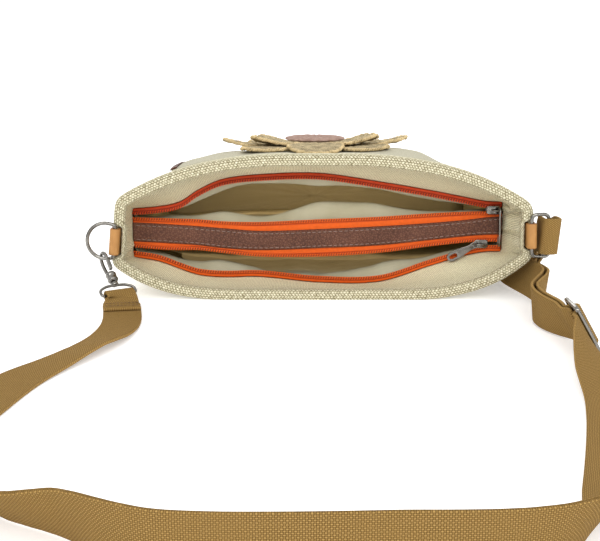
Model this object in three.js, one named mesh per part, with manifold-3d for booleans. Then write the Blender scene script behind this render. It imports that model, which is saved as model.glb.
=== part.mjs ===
// Jute shoulder bag lying on its back panel, zips half open, shoulder strap laid out in front.
// Millimetres. X along the bag's mouth, Y from the mouth towards the base, Z up from where it lies.
import * as THREE from "three";
import { mergeVertices } from "three/addons/utils/BufferGeometryUtils.js";
import Module from "manifold-3d";

// Walls and gaps
const SHELL_WALL = 2.2;
const FACING_WALL = 1.2;
const LINING_WALL = 1;
const PATCH_WALL = 1.6;
const LEATHER = 2;
const GAP = 0.5;

// Cross sections of the body from rim to base: half lengths left and right of the middle, height of the
// front panel's crown and of the back panel's flat.
const BODY_ROWS = [
  { y: -120, left: 150.5, right: 154.5, crown: 105, sole: 0 },
  { y: -100, left: 150.5, right: 154.5, crown: 102.5, sole: 0 },
  { y: -60, left: 150.5, right: 153.5, crown: 99.5, sole: 0 },
  { y: -15, left: 150, right: 151.5, crown: 96.5, sole: 0 },
  { y: 35, left: 149, right: 149.5, crown: 91, sole: 0 },
  { y: 80, left: 147.5, right: 147.5, crown: 82, sole: 0 },
  { y: 108, left: 145.5, right: 145.5, crown: 73, sole: 0 },
  { y: 117, left: 142, right: 142, crown: 67, sole: 2 },
  { y: 120, left: 136, right: 136, crown: 60, sole: 7 },
];
// Upper and lower corner of the two ends in the same sections
const END_ROWS = [
  { leftTop: 73, leftLow: 26, rightTop: 69, rightLow: 31 },
  { leftTop: 73, leftLow: 25.5, rightTop: 69.5, rightLow: 31 },
  { leftTop: 71.5, leftLow: 23, rightTop: 69, rightLow: 29 },
  { leftTop: 68.5, leftLow: 19, rightTop: 66.5, rightLow: 23 },
  { leftTop: 63.5, leftLow: 14.5, rightTop: 62.5, rightLow: 16 },
  { leftTop: 58, leftLow: 11, rightTop: 57.5, rightLow: 11.5 },
  { leftTop: 53, leftLow: 9, rightTop: 53, rightLow: 9 },
  { leftTop: 49, leftLow: 8, rightTop: 49, rightLow: 8 },
  { leftTop: 44, leftLow: 8, rightTop: 44, rightLow: 8 },
];
const SECTIONS = BODY_ROWS.map((row, i) => ({ ...row, ...END_ROWS[i] }));
const BASE_Y = 120;
const RIM_Y = -120;
const LEFT_LEAN = 4.5;
const RIGHT_LEAN = 1.5;
const CROWN_POWER = 2.9;
const SOLE_FLAT = 0.3;
const SOLE_POWER = 3.1;
const PANEL_STEPS = 14;
const END_STEPS = 3;
const FACING_SET_BACK = 1.5;

// Zip panel, set back from the rim: heights of both zips' edges and of the leather strip along X.
const ZIP_Y = -88;
const ZIP_ROWS = [
  { x: -139, frontOut: 60, frontIn: 56.5, stripTop: 52.5, stripLow: 38, backIn: 33.2, backOut: 28.8 },
  { x: -120, frontOut: 61.5, frontIn: 56, stripTop: 51.5, stripLow: 37, backIn: 31.5, backOut: 25.5 },
  { x: -104, frontOut: 65, frontIn: 55.5, stripTop: 50.5, stripLow: 36, backIn: 31, backOut: 19.5 },
  { x: -90, frontOut: 74, frontIn: 55, stripTop: 49.5, stripLow: 35, backIn: 31, backOut: 15 },
  { x: -72, frontOut: 82, frontIn: 53.5, stripTop: 48, stripLow: 32.8, backIn: 28.8, backOut: 13.5 },
  { x: -44, frontOut: 85.5, frontIn: 53, stripTop: 46, stripLow: 31.3, backIn: 26, backOut: 13.8 },
  { x: 0, frontOut: 86.5, frontIn: 55, stripTop: 47.3, stripLow: 32.8, backIn: 26, backOut: 9.5 },
  { x: 46, frontOut: 80, frontIn: 57, stripTop: 49.5, stripLow: 35, backIn: 29, backOut: 10 },
  { x: 84, frontOut: 73.5, frontIn: 59.5, stripTop: 52, stripLow: 39, backIn: 34, backOut: 22 },
  { x: 112, frontOut: 68, frontIn: 60.8, stripTop: 54.5, stripLow: 42, backIn: 37, backOut: 30.5 },
  { x: 126, frontOut: 65.4, frontIn: 61, stripTop: 56.3, stripLow: 43, backIn: 37.5, backOut: 33 },
  { x: 136, frontOut: 65.2, frontIn: 61, stripTop: 57, stripLow: 43.2, backIn: 37.5, backOut: 33.2 },
];
const ZIP_LEFT = -139.8;
const ZIP_RIGHT = 138;
const TAPE_LEFT = -138.8;
const TAPE_RIGHT = 135.6;
const TAPE_STEPS = 24;
const TAPE_WALL = 1;
const TAPE_ROOT = 2.8;
const TAPE_FREE = 2.2;
const TAPE_TUCK = 2.5;
const COIL_HIGH = 2.4;
const COIL_OUT = 1.4;
const COIL_FLANK = 0.2;
const TAPE_STAGGER = 0.2;
const STRIP_STEPS = 20;
const STRIP_FRONT = 2;
const STRIP_BACK = 0.4;
const STRIP_LEFT = -138.8;
const STRIP_RIGHT = 136;

// Lining pouches: how far each section has left the mouth's shape for the body's.
const LINING_ROWS = [
  { y: -84, open: 0 },
  { y: -66, open: 0.4 },
  { y: -35, open: 0.85 },
  { y: 15, open: 1 },
  { y: 60, open: 1 },
  { y: 94, open: 1 },
];
const LINING_STEPS = 12;
const LINING_CLEAR = 6;
const LINING_END_CLEAR = 9;
const DIVIDER_SHARE = 0.46;
const DIVIDER_GAP = 1.2;

// Patch on the front panel
const PATCH = { left: -111, right: 97, near: -78, far: 84, columns: 16, rows: 8 };
// Stand of the patch off the panel: its bound edge gapes, the sewn flower draws its middle in.
const PUFF_ROWS = [
  { x: -111, puff: 2.5 },
  { x: -96, puff: 4 },
  { x: -66, puff: 3.6 },
  { x: -20, puff: 2.4 },
  { x: 20, puff: 2.6 },
  { x: 52, puff: 5 },
  { x: 80, puff: 5.6 },
  { x: 97, puff: 0.4 },
];
const BINDING = { wide: 4, over: 1.2, wall: 1, rows: 8, columns: 2 };

// Flower of burlap petals: direction from the middle, reach, width and how far the tip is raised or droops.
const FLOWER_X = -2;
const FLOWER_Y = -18;
const PETAL_WALL = 2.2;
const PETAL_ROWS = 6;
const PETAL_COLUMNS = 4;
const LIFT_POWER = 3;
const LOWER_PETALS = { start: 12, lie: 0.6 };
const LOWER_ROWS = [
  { turn: 0, reach: 73, wide: 40, lift: 7 },
  { turn: 45, reach: 72, wide: 40, lift: 5 },
  { turn: 90, reach: 74, wide: 41, lift: 6 },
  { turn: 135, reach: 72, wide: 40, lift: 7 },
  { turn: 180, reach: 73, wide: 40, lift: 8 },
  { turn: 222, reach: 72, wide: 39, lift: 1.8 },
  { turn: 270, reach: 40, wide: 30, lift: 0 },
  { turn: 318, reach: 71, wide: 39, lift: 1.5 },
];
const UPPER_PETALS = { start: 9, lie: 3.7 };
const UPPER_ROWS = [
  { turn: 30, reach: 54, wide: 38, lift: 6 },
  { turn: 90, reach: 52, wide: 38, lift: 6 },
  { turn: 150, reach: 54, wide: 37, lift: 6.5 },
  { turn: 210, reach: 55, wide: 38, lift: 6 },
  { turn: 270, reach: 69, wide: 42, lift: -4.6 },
  { turn: 330, reach: 54, wide: 38, lift: 5.5 },
];
const PETAL_SECTOR = 0.94;
const PETAL_SHAPE = { root: 0.08, span: 0.88, lean: 1.2, fullness: 0.7 };
const CENTRE = { lie: 7.2, sides: 14 };
const CENTRE_PROFILE = [
  { r: 0, z: 0 },
  { r: 19.2, z: 0 },
  { r: 23.6, z: 1.1 },
  { r: 21.4, z: 2.8 },
  { r: 13, z: 3.9 },
  { r: 0, z: 4.1 },
];

// Leather tabs and the rings they hold; a tab straddles the end wall of the rim.
const RING_WIRE = 1.35;
const RING_Y = -124;
const TAB_BORE = 1.55;
const TAB_LEG_END = -100;
const LEFT_RING = { high: 28.4, reach: 19.5, z: 43.6, tabHigh: 19.5, arcSteps: 16 };
const D_CORNER = { barShare: 0.75, share: 0.92, out: 0.6 };
const RIGHT_RING = { high: 33.4, reach: 12.2, z: 47.8, tabHigh: 18.5, corner: 3.6 };
const CORNER_TURNS = [0, 30, 60, 90];
const WIRE_SIDES = 8;

// Snap hook hanging in the left ring: its axis from barrel to hook, the ring wire's place along that axis.
const HOOK_AXIS = new THREE.Vector3(-0.43, 0.6, 0.67).normalize();
const HOOK_RING_POINT = 22;
const HOOK_ON_BOW = 268;
const HOOK_WIRE = 1.25;
const HOOK_STEPS = 18;
const HOOK_ROUTE = [
  { x: -0.5, z: 6 },
  { x: -3.5, z: 9.2 },
  { x: -4.7, z: 14 },
  { x: -4.7, z: 20.7 },
  { x: -3.3, z: 24.4 },
  { x: 0, z: 25.7 },
  { x: 3.3, z: 24.4 },
  { x: 4.7, z: 21.1 },
  { x: 4.7, z: 17.8 },
];
const TURNED_SIDES = 12;
const BARREL_PROFILE = [
  { r: 0, z: 4.2 },
  { r: 1.6, z: 4.2 },
  { r: 1.6, z: 0 },
  { r: 2.9, z: 0 },
  { r: 3.8, z: 1.4 },
  { r: 3.8, z: 6.5 },
  { r: 3, z: 8 },
  { r: 0, z: 8 },
];
const GATE_THICK = 2.2;
const GATE_OUTLINE = [
  { x: 2.5, z: 8.9 },
  { x: 4.7, z: 8.9 },
  { x: 5.7, z: 10.9 },
  { x: 5.7, z: 17.2 },
  { x: 3.7, z: 17.2 },
];
// Half of the swivel eye's wire, from the strap's bar to the stem, and the stem that turns in the barrel.
const EYE_WIRE = 1;
const EYE_BAR = -11;
const EYE_SIDE = [
  { out: 12.2, z: EYE_BAR },
  { out: 13.1, z: -10 },
  { out: 12.8, z: -6.4 },
  { out: 8.6, z: -3.9 },
  { out: 5.4, z: -3.2 },
];
const EYE_TOP = -3;
const STEM_PROFILE = [
  { r: 0, z: -3.2 },
  { r: 2.4, z: -3.2 },
  { r: 2.4, z: -0.4 },
  { r: 1.2, z: -0.4 },
  { r: 1.2, z: 3.7 },
  { r: 0, z: 3.7 },
];

// Shoulder strap of webbing. The route gives places, the height of the lower edge and the bank across it.
const STRAP_WIDE = 26;
const STRAP_THICK = 2;
const STRAP_STEPS_PER_ROW = 2;
const STRAP_ROUTE = [
  { x: -138.4, y: -155, lift: 1, bank: 0 },
  { x: -133.8, y: -181, lift: 0.4, bank: 0 },
  { x: -131.5, y: -207, lift: 0.3, bank: 1 },
  { x: -133.5, y: -237, lift: 0.3, bank: 6 },
  { x: -141, y: -265, lift: 0.3, bank: 12 },
  { x: -154, y: -295, lift: 0.3, bank: 4 },
  { x: -164.5, y: -325, lift: 0.3, bank: -4 },
  { x: -171, y: -368, lift: 0.3, bank: -6 },
  { x: -174, y: -410, lift: 0.3, bank: -8 },
  { x: -167, y: -458, lift: 0.3, bank: -19 },
  { x: -150, y: -487, lift: 0.3, bank: -31 },
  { x: -131, y: -507, lift: 0.3, bank: -41 },
  { x: -112, y: -517, lift: 0.3, bank: -51 },
  { x: -97, y: -524.5, lift: 0.3, bank: -66 },
  { x: -80, y: -539, lift: 0.3, bank: -80 },
  { x: -62, y: -549, lift: 0.3, bank: -87 },
  { x: -25, y: -552, lift: 0.3, bank: -90 },
  { x: 20, y: -550.5, lift: 0.3, bank: -90 },
  { x: 56, y: -549, lift: 0.3, bank: -88 },
  { x: 75, y: -542, lift: 0.3, bank: -78 },
  { x: 91, y: -525, lift: 0.3, bank: -60 },
  { x: 102.5, y: -503, lift: 0.3, bank: -36 },
  { x: 111, y: -478, lift: 0.3, bank: -12 },
  { x: 129, y: -418, lift: 0.3, bank: 2 },
  { x: 141.5, y: -366, lift: 0.4, bank: 7 },
  { x: 145, y: -331, lift: 0.8, bank: 20 },
  { x: 151, y: -291, lift: 2.2, bank: 44 },
];
const SLIDER_AT = { x: 155, y: -260, lift: 4, bank: 60 };
// From the slider to the ring the webbing is double: spread is the distance of the layer that comes back.
const DOUBLE_ROUTE = [
  { x: 150.5, y: -237, lift: 2.4, bank: 66, spread: 2.8 },
  { x: 144, y: -215, lift: 1.8, bank: 76, spread: 3.4 },
  { x: 144, y: -192, lift: 1.6, bank: 84, spread: 3.8 },
  { x: 154, y: -163, lift: 1.6, bank: 94, spread: 4 },
  { x: 159, y: -142, lift: 1.6, bank: 100, spread: 3.6 },
  { x: 157, y: -116, lift: 1.6, bank: 109, spread: 3 },
  { x: 153, y: -90, lift: 1.6, bank: 117, spread: 2.8 },
  { x: 151, y: -68, lift: 1.6, bank: 119, spread: 2.8 },
  { x: 154, y: -48, lift: 1.9, bank: 110, spread: 2.8 },
  { x: 164, y: -37, lift: 5.5, bank: 93, spread: 3 },
  { x: 171, y: -43, lift: 11, bank: 90, spread: 3.2 },
  { x: 171, y: -58, lift: 18.5, bank: 90, spread: 4.2 },
  { x: 166.5, y: -82, lift: 27.5, bank: 90, spread: 7.6 },
  { x: 161, y: -110, lift: 34.6, bank: 90, spread: 11 },
];
// Turns of the webbing: gathered round the swivel eye's bar, loose round the outer bar of the square ring.
const EYE_TURN = { radius: 2.6, leave: 6, steps: 5, gather: 0.83 };
const RING_TURN = { past: 1.1, across: 5.6, out: 4.2, drop: 0.5, lean: 5, steps: 6 };
// Sewn tail of the webbing: how many stations it runs back over the strap, and how far above it.
const TAIL = { stations: 2, above: 2.4 };

// Three-bar slider of the strap, and how far the webbing passes under its outer and over its middle bar.
const SLIDER = { wide: 33, long: 25, bar: 2.6, thick: 2.4, corner: 3, slotWide: 27.8 };
const SLIDER_CLEAR = 20;
const WEAVE = [
  { along: -14.5, off: -2.7 },
  { along: -9, off: -2.7 },
  { along: -2.4, off: 2.7 },
  { along: 2.4, off: 2.7 },
  { along: 9, off: -2.7 },
  { along: 14.5, off: -2.7 },
];
const SEWN_END = [
  { along: 14.5, off: -5.4 },
  { along: 9, off: -5.2 },
  { along: 2.4, off: -2.7 },
  { along: -3, off: -2.7 },
];

// Zip sliders and pulls
const ZIP_PLATE = { wall: 1.2, front: -2.5, back: 2.4, post: 1.1, postLong: 3 };
const ZIP_PLATE_OUTLINE = [
  { x: -5, z: -2.2 },
  { x: -3.5, z: -3.2 },
  { x: 4, z: -3.2 },
  { x: 5, z: -2 },
  { x: 5, z: 2 },
  { x: 4, z: 3.2 },
  { x: -3.5, z: 3.2 },
  { x: -5, z: 2.2 },
];
const CROWN = { wire: 1.2, out: 7.8 };
const FRONT_SLIDER = { x: 130.6, z: 62.05, crownLeft: 129, crownRight: 136.6 };
const BACK_SLIDER = { x: 122, z: 36.4, crownLeft: 117.4, crownRight: 124.4 };
const PULL = { wall: 1.2, eye: 1.7, neck: 2.7, waist: 2, waistAt: 5.4, half: 3.5, slot: 1.5, slotLong: 3 };
const PULL_TAPER = 0.6;
const FRONT_PULL = { x: 134.6, long: 27 };
const BACK_PULL = { long: 24, drop: 28, out: 5.2 };

// Finishes
function finish(color, roughness, metalness = 0) {
  return new THREE.MeshStandardMaterial({ color, roughness, metalness });
}
const JUTE = finish(0xcfc7a4, 0.95);
const COTTON = finish(0xd8d2b8, 0.9);
const LINING = finish(0xe6dfc2, 0.9);
const ZIP_ORANGE = finish(0xe8481c, 0.6);
const BROWN_LEATHER = finish(0x6a4236, 0.6);
const TAN_LEATHER = finish(0xd69a5c, 0.55);
const WEBBING = finish(0xa9823f, 0.9);
const NICKEL = finish(0x9a9894, 0.3, 1);
const BURLAP = finish(0xb59a6c, 0.95);
const MAUVE = finish(0xb27c74, 0.9);

const wasm = await Module();
wasm.setup();

const bag = new THREE.Group();
const vec = (x, y, z) => new THREE.Vector3(x, y, z);
const mix = THREE.MathUtils.lerp;
const radians = THREE.MathUtils.degToRad;

function add(name, geometry, material, parent = bag) {
  const mesh = new THREE.Mesh(geometry, material.clone());
  mesh.name = name;
  parent.add(mesh);
  return mesh;
}

// Geometry of a closed body from points and triangles, its faces turned outwards.
function closedBody(points, triangles) {
  let volume = 0;
  for (const [a, b, c] of triangles) {
    volume += points[a].dot(points[b].clone().cross(points[c]));
  }
  const index = volume > 0 ? triangles.flat() : triangles.map(([a, b, c]) => [a, c, b]).flat();
  const geometry = new THREE.BufferGeometry().setFromPoints(points);
  geometry.setIndex(index);
  return geometry;
}

// A body through rings of equal count. Its two ends are closed by a fan about the middle, or by pairing the
// first half of the ring with the second, or the last ring runs on into the first.
function loft(rings, ends = "fan") {
  const count = rings[0].length;
  const points = rings.flat();
  const triangles = [];
  const spans = ends === "loop" ? rings.length : rings.length - 1;
  for (let i = 0; i < spans; i += 1) {
    const near = i * count;
    const far = ((i + 1) % rings.length) * count;
    for (let j = 0; j < count; j += 1) {
      const k = (j + 1) % count;
      triangles.push([near + j, near + k, far + k], [near + j, far + k, far + j]);
    }
  }
  for (const [start, flip] of [[0, true], [(rings.length - 1) * count, false]]) {
    const ring = points.slice(start, start + count);
    const faces = [];
    if (ends === "fan") {
      const middle = ring.reduce((sum, p) => sum.add(p), vec(0, 0, 0)).divideScalar(count);
      points.push(middle);
      for (let j = 0; j < count; j += 1) {
        faces.push([start + j, start + ((j + 1) % count), points.length - 1]);
      }
    }
    if (ends === "pairs") {
      for (let j = 0; j + 1 < count / 2; j += 1) {
        const [a, b, c, d] = [j, j + 1, count - 2 - j, count - 1 - j].map((k) => start + k);
        faces.push([a, b, c], [a, c, d]);
      }
    }
    triangles.push(...faces.map(([a, b, c]) => (flip ? [a, c, b] : [a, b, c])));
  }
  return closedBody(points, triangles);
}

// Smooth reading of one column of a table at a place between its rows.
function read(rows, key, at, column) {
  const last = rows.length - 1;
  let i = rows.findIndex((row) => row[key] > at) - 1;
  if (i < 0) {
    i = at >= rows[last][key] ? last - 1 : 0;
  }
  const slope = (k) => {
    const a = rows[Math.max(k - 1, 0)];
    const b = rows[Math.min(k + 1, last)];
    return (b[column] - a[column]) / (b[key] - a[key]);
  };
  const span = rows[i + 1][key] - rows[i][key];
  const t = THREE.MathUtils.clamp((at - rows[i][key]) / span, 0, 1);
  const t2 = t * t;
  const t3 = t2 * t;
  return (2 * t3 - 3 * t2 + 1) * rows[i][column] + (t3 - 2 * t2 + t) * span * slope(i)
    + (3 * t2 - 2 * t3) * rows[i + 1][column] + (t3 - t2) * span * slope(i + 1);
}

function bodyAt(y) {
  const columns = Object.keys(SECTIONS[0]);
  return Object.fromEntries(columns.map((column) => [column, read(SECTIONS, "y", y, column)]));
}
const zip = (column, x) => read(ZIP_ROWS, "x", x, column);

// Fraction along a panel from one end to the other, closer spaced towards the ends.
const spread = (step, steps) => Math.sin((Math.PI / 2) * ((2 * step) / steps - 1));

// Height of the front and back panel of a section at a share of its half length.
function frontHeight(row, share, inset = 0) {
  const end = (share < 0 ? row.leftTop : row.rightTop) - inset;
  return end + (row.crown - inset - end) * (1 - Math.abs(share) ** CROWN_POWER);
}
function backHeight(row, share, inset = 0) {
  const rise = Math.max(0, (Math.abs(share) - SOLE_FLAT) / (1 - SOLE_FLAT)) ** SOLE_POWER;
  return row.sole + inset + (share < 0 ? row.leftLow : row.rightLow) * rise;
}
const frontPanel = (x, y) => {
  const row = bodyAt(y);
  return frontHeight(row, x < 0 ? x / (row.left - LEFT_LEAN) : x / (row.right - RIGHT_LEAN));
};
const backPanel = (x, y) => {
  const row = bodyAt(y);
  return backHeight(row, x < 0 ? x / row.left : x / row.right);
};

// A ring round two panels and two straight ends: back panel, left end, front panel, right end.
function panelRing(y, steps, low, high) {
  const ring = [];
  for (let i = 0; i <= steps; i += 1) {
    ring.push(low(-spread(i, steps)));
  }
  const [leftLow, leftTop, rightTop, rightLow] = [low(-1), high(-1), high(1), low(1)];
  for (let i = 1; i < END_STEPS; i += 1) {
    ring.push(leftLow.clone().lerp(leftTop, i / END_STEPS));
  }
  for (let i = 0; i <= steps; i += 1) {
    ring.push(high(spread(i, steps)));
  }
  for (let i = 1; i < END_STEPS; i += 1) {
    ring.push(rightTop.clone().lerp(rightLow, i / END_STEPS));
  }
  ring.forEach((point) => point.setY(y));
  return ring;
}

function bodyRing(row, y, inset, endInset = inset) {
  const lowX = (share) => share * ((share < 0 ? row.left : row.right) - endInset);
  const highX = (share) => share * ((share < 0 ? row.left - LEFT_LEAN : row.right - RIGHT_LEAN) - endInset);
  return panelRing(y, PANEL_STEPS,
    (share) => vec(lowX(share), 0, backHeight(row, share, inset)),
    (share) => vec(highX(share), 0, frontHeight(row, share, inset)));
}

// A hollow cup: down the inside from the base to the mouth, over the edge and down the outside.
const cup = (outer, inner) => loft([...inner.toReversed(), ...outer]);

function shell() {
  const outer = SECTIONS.map((row) => bodyRing(row, row.y, 0));
  const deepest = BASE_Y - 2 * SHELL_WALL;
  const inner = SECTIONS.slice(0, -1).map((row) => bodyRing(row, Math.min(row.y, deepest), SHELL_WALL));
  return cup(outer, inner);
}

// Inner band from the rim to the zips; at the ends it leaves room for the tabs' inner legs.
function facing() {
  const rimRow = SECTIONS[0];
  const endInset = SHELL_WALL + LEATHER + 3 * GAP;
  const rimY = RIM_Y + FACING_SET_BACK;
  const rim = (inset) => bodyRing(rimRow, rimY, SHELL_WALL + GAP + inset, endInset + inset);
  const mouth = (inset) => panelRing(ZIP_Y, PANEL_STEPS,
    (share) => zipEdge(share, "backOut", inset - TAPE_ROOT - GAP),
    (share) => zipEdge(share, "frontOut", TAPE_ROOT + GAP - inset));
  const zipEdge = (share, column, offset) => {
    const x = mix(ZIP_LEFT, ZIP_RIGHT, (share + 1) / 2);
    return vec(x, 0, zip(column, x) + offset);
  };
  const between = (a, b) => a.map((point, i) => point.clone().lerp(b[i], 0.5));
  const outer = [rim(0), between(rim(0), mouth(-FACING_WALL)), mouth(-FACING_WALL)];
  const inner = [mouth(0), between(rim(FACING_WALL), mouth(0)), rim(FACING_WALL)];
  return loft([...outer, ...inner], "loop");
}

// Zip tape with its coil along the free edge, between a root and a free height that run along X.
function zipTape(root, free, back) {
  const rings = [];
  for (let i = 0; i <= TAPE_STEPS; i += 1) {
    const x = mix(TAPE_LEFT, TAPE_RIGHT, i / TAPE_STEPS);
    const [low, high] = [root(x), free(x)];
    const way = Math.sign(high - low);
    const front = back - TAPE_WALL;
    const coil = front - COIL_OUT;
    rings.push([
      vec(x, back, low),
      vec(x, front, low),
      vec(x, front, high - way * COIL_HIGH),
      vec(x, coil, high - way * COIL_HIGH * (1 - COIL_FLANK)),
      vec(x, coil, high - way * COIL_HIGH * COIL_FLANK),
      vec(x, front, high),
      vec(x, back, high),
    ]);
  }
  return loft(rings);
}

function centreStrip() {
  const rings = [];
  for (let i = 0; i <= STRIP_STEPS; i += 1) {
    const x = mix(STRIP_LEFT, STRIP_RIGHT, i / STRIP_STEPS);
    const [low, high] = [zip("stripLow", x), zip("stripTop", x)];
    const [front, back] = [ZIP_Y - STRIP_FRONT, ZIP_Y - STRIP_BACK];
    rings.push([vec(x, back, low), vec(x, front, low), vec(x, front, high), vec(x, back, high)]);
  }
  return loft(rings);
}

// One of the two cotton pouches behind the zips.
function liningPouch(front) {
  const ringAt = ({ y, open }, inset) => {
    const row = bodyAt(y);
    const left = mix(TAPE_LEFT + GAP, -(row.left - LINING_END_CLEAR), open) + inset;
    const right = mix(TAPE_RIGHT - GAP, row.right - LINING_END_CLEAR, open) - inset;
    const heights = (share) => {
      const x = mix(left, right, (share + 1) / 2);
      const [floor, roof] = [backPanel(x, y), frontPanel(x, y)];
      const divider = mix(floor, roof, DIVIDER_SHARE);
      const mouth = front
        ? [zip("stripTop", x) - GAP, zip("frontOut", x) + TAPE_FREE]
        : [zip("backOut", x) - TAPE_FREE, zip("stripLow", x) + GAP];
      const deep = front
        ? [divider + DIVIDER_GAP, roof - LINING_CLEAR]
        : [floor + LINING_CLEAR, divider - DIVIDER_GAP];
      return { x, low: mix(mouth[0], deep[0], open) + inset, high: mix(mouth[1], deep[1], open) - inset };
    };
    return panelRing(y + (inset && y === LINING_ROWS.at(-1).y ? -LINING_WALL : 0), LINING_STEPS,
      (share) => vec(heights(share).x, 0, heights(share).low),
      (share) => vec(heights(share).x, 0, heights(share).high));
  };
  const [outer, inner] = [0, LINING_WALL].map((inset) => LINING_ROWS.map((row) => ringAt(row, inset)));
  return cup(outer, inner);
}

// Upper face of the patch, puffed between its near and far edge.
function patchTop(x, y) {
  const along = THREE.MathUtils.clamp((2 * (y - PATCH.near)) / (PATCH.far - PATCH.near) - 1, -1, 1);
  const puff = read(PUFF_ROWS, "x", x, "puff") * (1 - along ** 4);
  return frontPanel(x, y) + 2 * GAP + PATCH_WALL + puff;
}

// A thin sheet over a grid of places, its upper face given by a height, its lower one a wall below.
function sheet(rows, columns, place, wall) {
  const rings = [];
  for (let i = 0; i <= rows; i += 1) {
    const upper = [];
    for (let j = 0; j <= columns; j += 1) {
      upper.push(place(i / rows, j / columns));
    }
    const lower = upper.map((point) => point.clone().setZ(point.z - wall)).toReversed();
    rings.push([...upper, ...lower]);
  }
  return loft(rings, "pairs");
}

function frontPatch() {
  const place = (along, across) => {
    const x = mix(PATCH.left, PATCH.right, across);
    const y = mix(PATCH.near, PATCH.far, along);
    return vec(x, y, patchTop(x, y));
  };
  return sheet(PATCH.rows, PATCH.columns, place, PATCH_WALL);
}

// Leather binding over the patch's left edge.
function patchBinding() {
  const place = (along, across) => {
    const x = mix(PATCH.left - BINDING.over, PATCH.left + BINDING.wide, across);
    const y = mix(PATCH.near, PATCH.far, along);
    return vec(x, y, patchTop(x, y) + BINDING.wall + GAP);
  };
  return sheet(BINDING.rows, BINDING.columns, place, BINDING.wall);
}

// Burlap petal: narrow at the root, broad past its middle, its tip lifted from the patch.
function petal({ start, lie }, { turn, reach, wide, lift }, count) {
  const { root, span, lean, fullness } = PETAL_SHAPE;
  const angle = radians(turn);
  const sector = 2 * Math.tan(Math.PI / count) * PETAL_SECTOR;
  const place = (along, across) => {
    const radius = mix(start, reach, along);
    const bulge = Math.sin(Math.PI * (root + span * along ** lean)) ** fullness;
    const aside = Math.min(wide * bulge, radius * sector - GAP) * (across - 0.5);
    const x = FLOWER_X + Math.cos(angle) * radius - Math.sin(angle) * aside;
    const y = FLOWER_Y + Math.sin(angle) * radius + Math.cos(angle) * aside;
    return vec(x, y, patchTop(x, y) + lie + PETAL_WALL + lift * along ** LIFT_POWER);
  };
  return sheet(PETAL_ROWS, PETAL_COLUMNS, place, PETAL_WALL);
}

// Body turned about the Z axis from a profile of radii and heights.
const turned = (profile, sides) => new THREE.LatheGeometry(
  profile.map(({ r, z }) => new THREE.Vector2(r, z)), sides).rotateX(Math.PI / 2);

// Round wire along a planar route; the route lies square to the given normal.
function wire(route, radius, normal, looped = false) {
  const rings = route.map((point, i) => {
    const before = looped ? route.at(i - 1) : route[Math.max(i - 1, 0)];
    const after = looped ? route[(i + 1) % route.length] : route[Math.min(i + 1, route.length - 1)];
    const side = after.clone().sub(before).normalize().cross(normal).normalize();
    const ring = [];
    for (let k = 0; k < WIRE_SIDES; k += 1) {
      const angle = (2 * Math.PI * k) / WIRE_SIDES;
      ring.push(point.clone()
        .addScaledVector(side, radius * Math.cos(angle))
        .addScaledVector(normal, radius * Math.sin(angle)));
    }
    return ring;
  });
  return loft(rings, looped ? "loop" : "fan");
}

// Fused body of several overlapping ones.
function fused(...geometries) {
  const solids = geometries.map((geometry) => {
    const bare = geometry.clone();
    bare.deleteAttribute("normal");
    bare.deleteAttribute("uv");
    const merged = mergeVertices(bare);
    return new wasm.Manifold(new wasm.Mesh({
      numProp: 3,
      vertProperties: new Float32Array(merged.attributes.position.array),
      triVerts: new Uint32Array(merged.index.array),
    }));
  });
  const mesh = solids.reduce((whole, solid) => whole.add(solid)).getMesh();
  const geometry = new THREE.BufferGeometry();
  geometry.setAttribute("position", new THREE.BufferAttribute(new Float32Array(mesh.vertProperties), 3));
  geometry.setIndex(new THREE.BufferAttribute(new Uint32Array(mesh.triVerts), 1));
  return geometry;
}

// Leather loop round a ring's bar: two legs and a round nose, in plan, drawn up to its height.
function tab(high) {
  const outer = TAB_BORE + LEATHER;
  const leg = TAB_LEG_END - RING_Y;
  const plan = new THREE.Shape();
  plan.moveTo(-outer, leg);
  plan.lineTo(-outer, 0);
  plan.absarc(0, 0, outer, Math.PI, 2 * Math.PI, false);
  plan.lineTo(outer, leg);
  plan.lineTo(TAB_BORE, leg);
  plan.lineTo(TAB_BORE, 0);
  plan.absarc(0, 0, TAB_BORE, 2 * Math.PI, Math.PI, true);
  plan.lineTo(-TAB_BORE, leg);
  plan.closePath();
  return new THREE.ExtrudeGeometry(plan, { depth: high, bevelEnabled: false, curveSegments: 7 })
    .translate(0, 0, -high / 2);
}

// D-ring in the XZ plane: bar on the Z axis, bow towards -X.
function dRing({ high, reach, arcSteps }) {
  const radius = high / 2 - RING_WIRE;
  const bow = -(reach - radius);
  const { barShare, share, out } = D_CORNER;
  const route = [-barShare, barShare].map((part) => vec(0, 0, radius * part));
  route.push(vec(-out, 0, radius * share));
  for (let i = 0; i <= arcSteps; i += 1) {
    const angle = Math.PI / 2 + (Math.PI * i) / arcSteps;
    route.push(vec(bow + radius * Math.cos(angle), 0, radius * Math.sin(angle)));
  }
  route.push(vec(-out, 0, -radius * share));
  return wire(route, RING_WIRE, vec(0, 1, 0), true);
}

// Square ring in the XZ plane: bar on the Z axis, outer bar towards +X.
function squareRing({ high, reach, corner }) {
  const half = high / 2 - RING_WIRE;
  const corners = [
    { x: corner, z: -half + corner, from: 180 },
    { x: reach - corner, z: -half + corner, from: 270 },
    { x: reach - corner, z: half - corner, from: 0 },
    { x: corner, z: half - corner, from: 90 },
  ];
  const route = corners.flatMap(({ x, z, from }) => CORNER_TURNS.map((turn) => {
    const angle = radians(from + turn);
    return vec(x + corner * Math.cos(angle), 0, z + corner * Math.sin(angle));
  }));
  return wire(route, RING_WIRE, vec(0, 1, 0), true);
}

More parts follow.
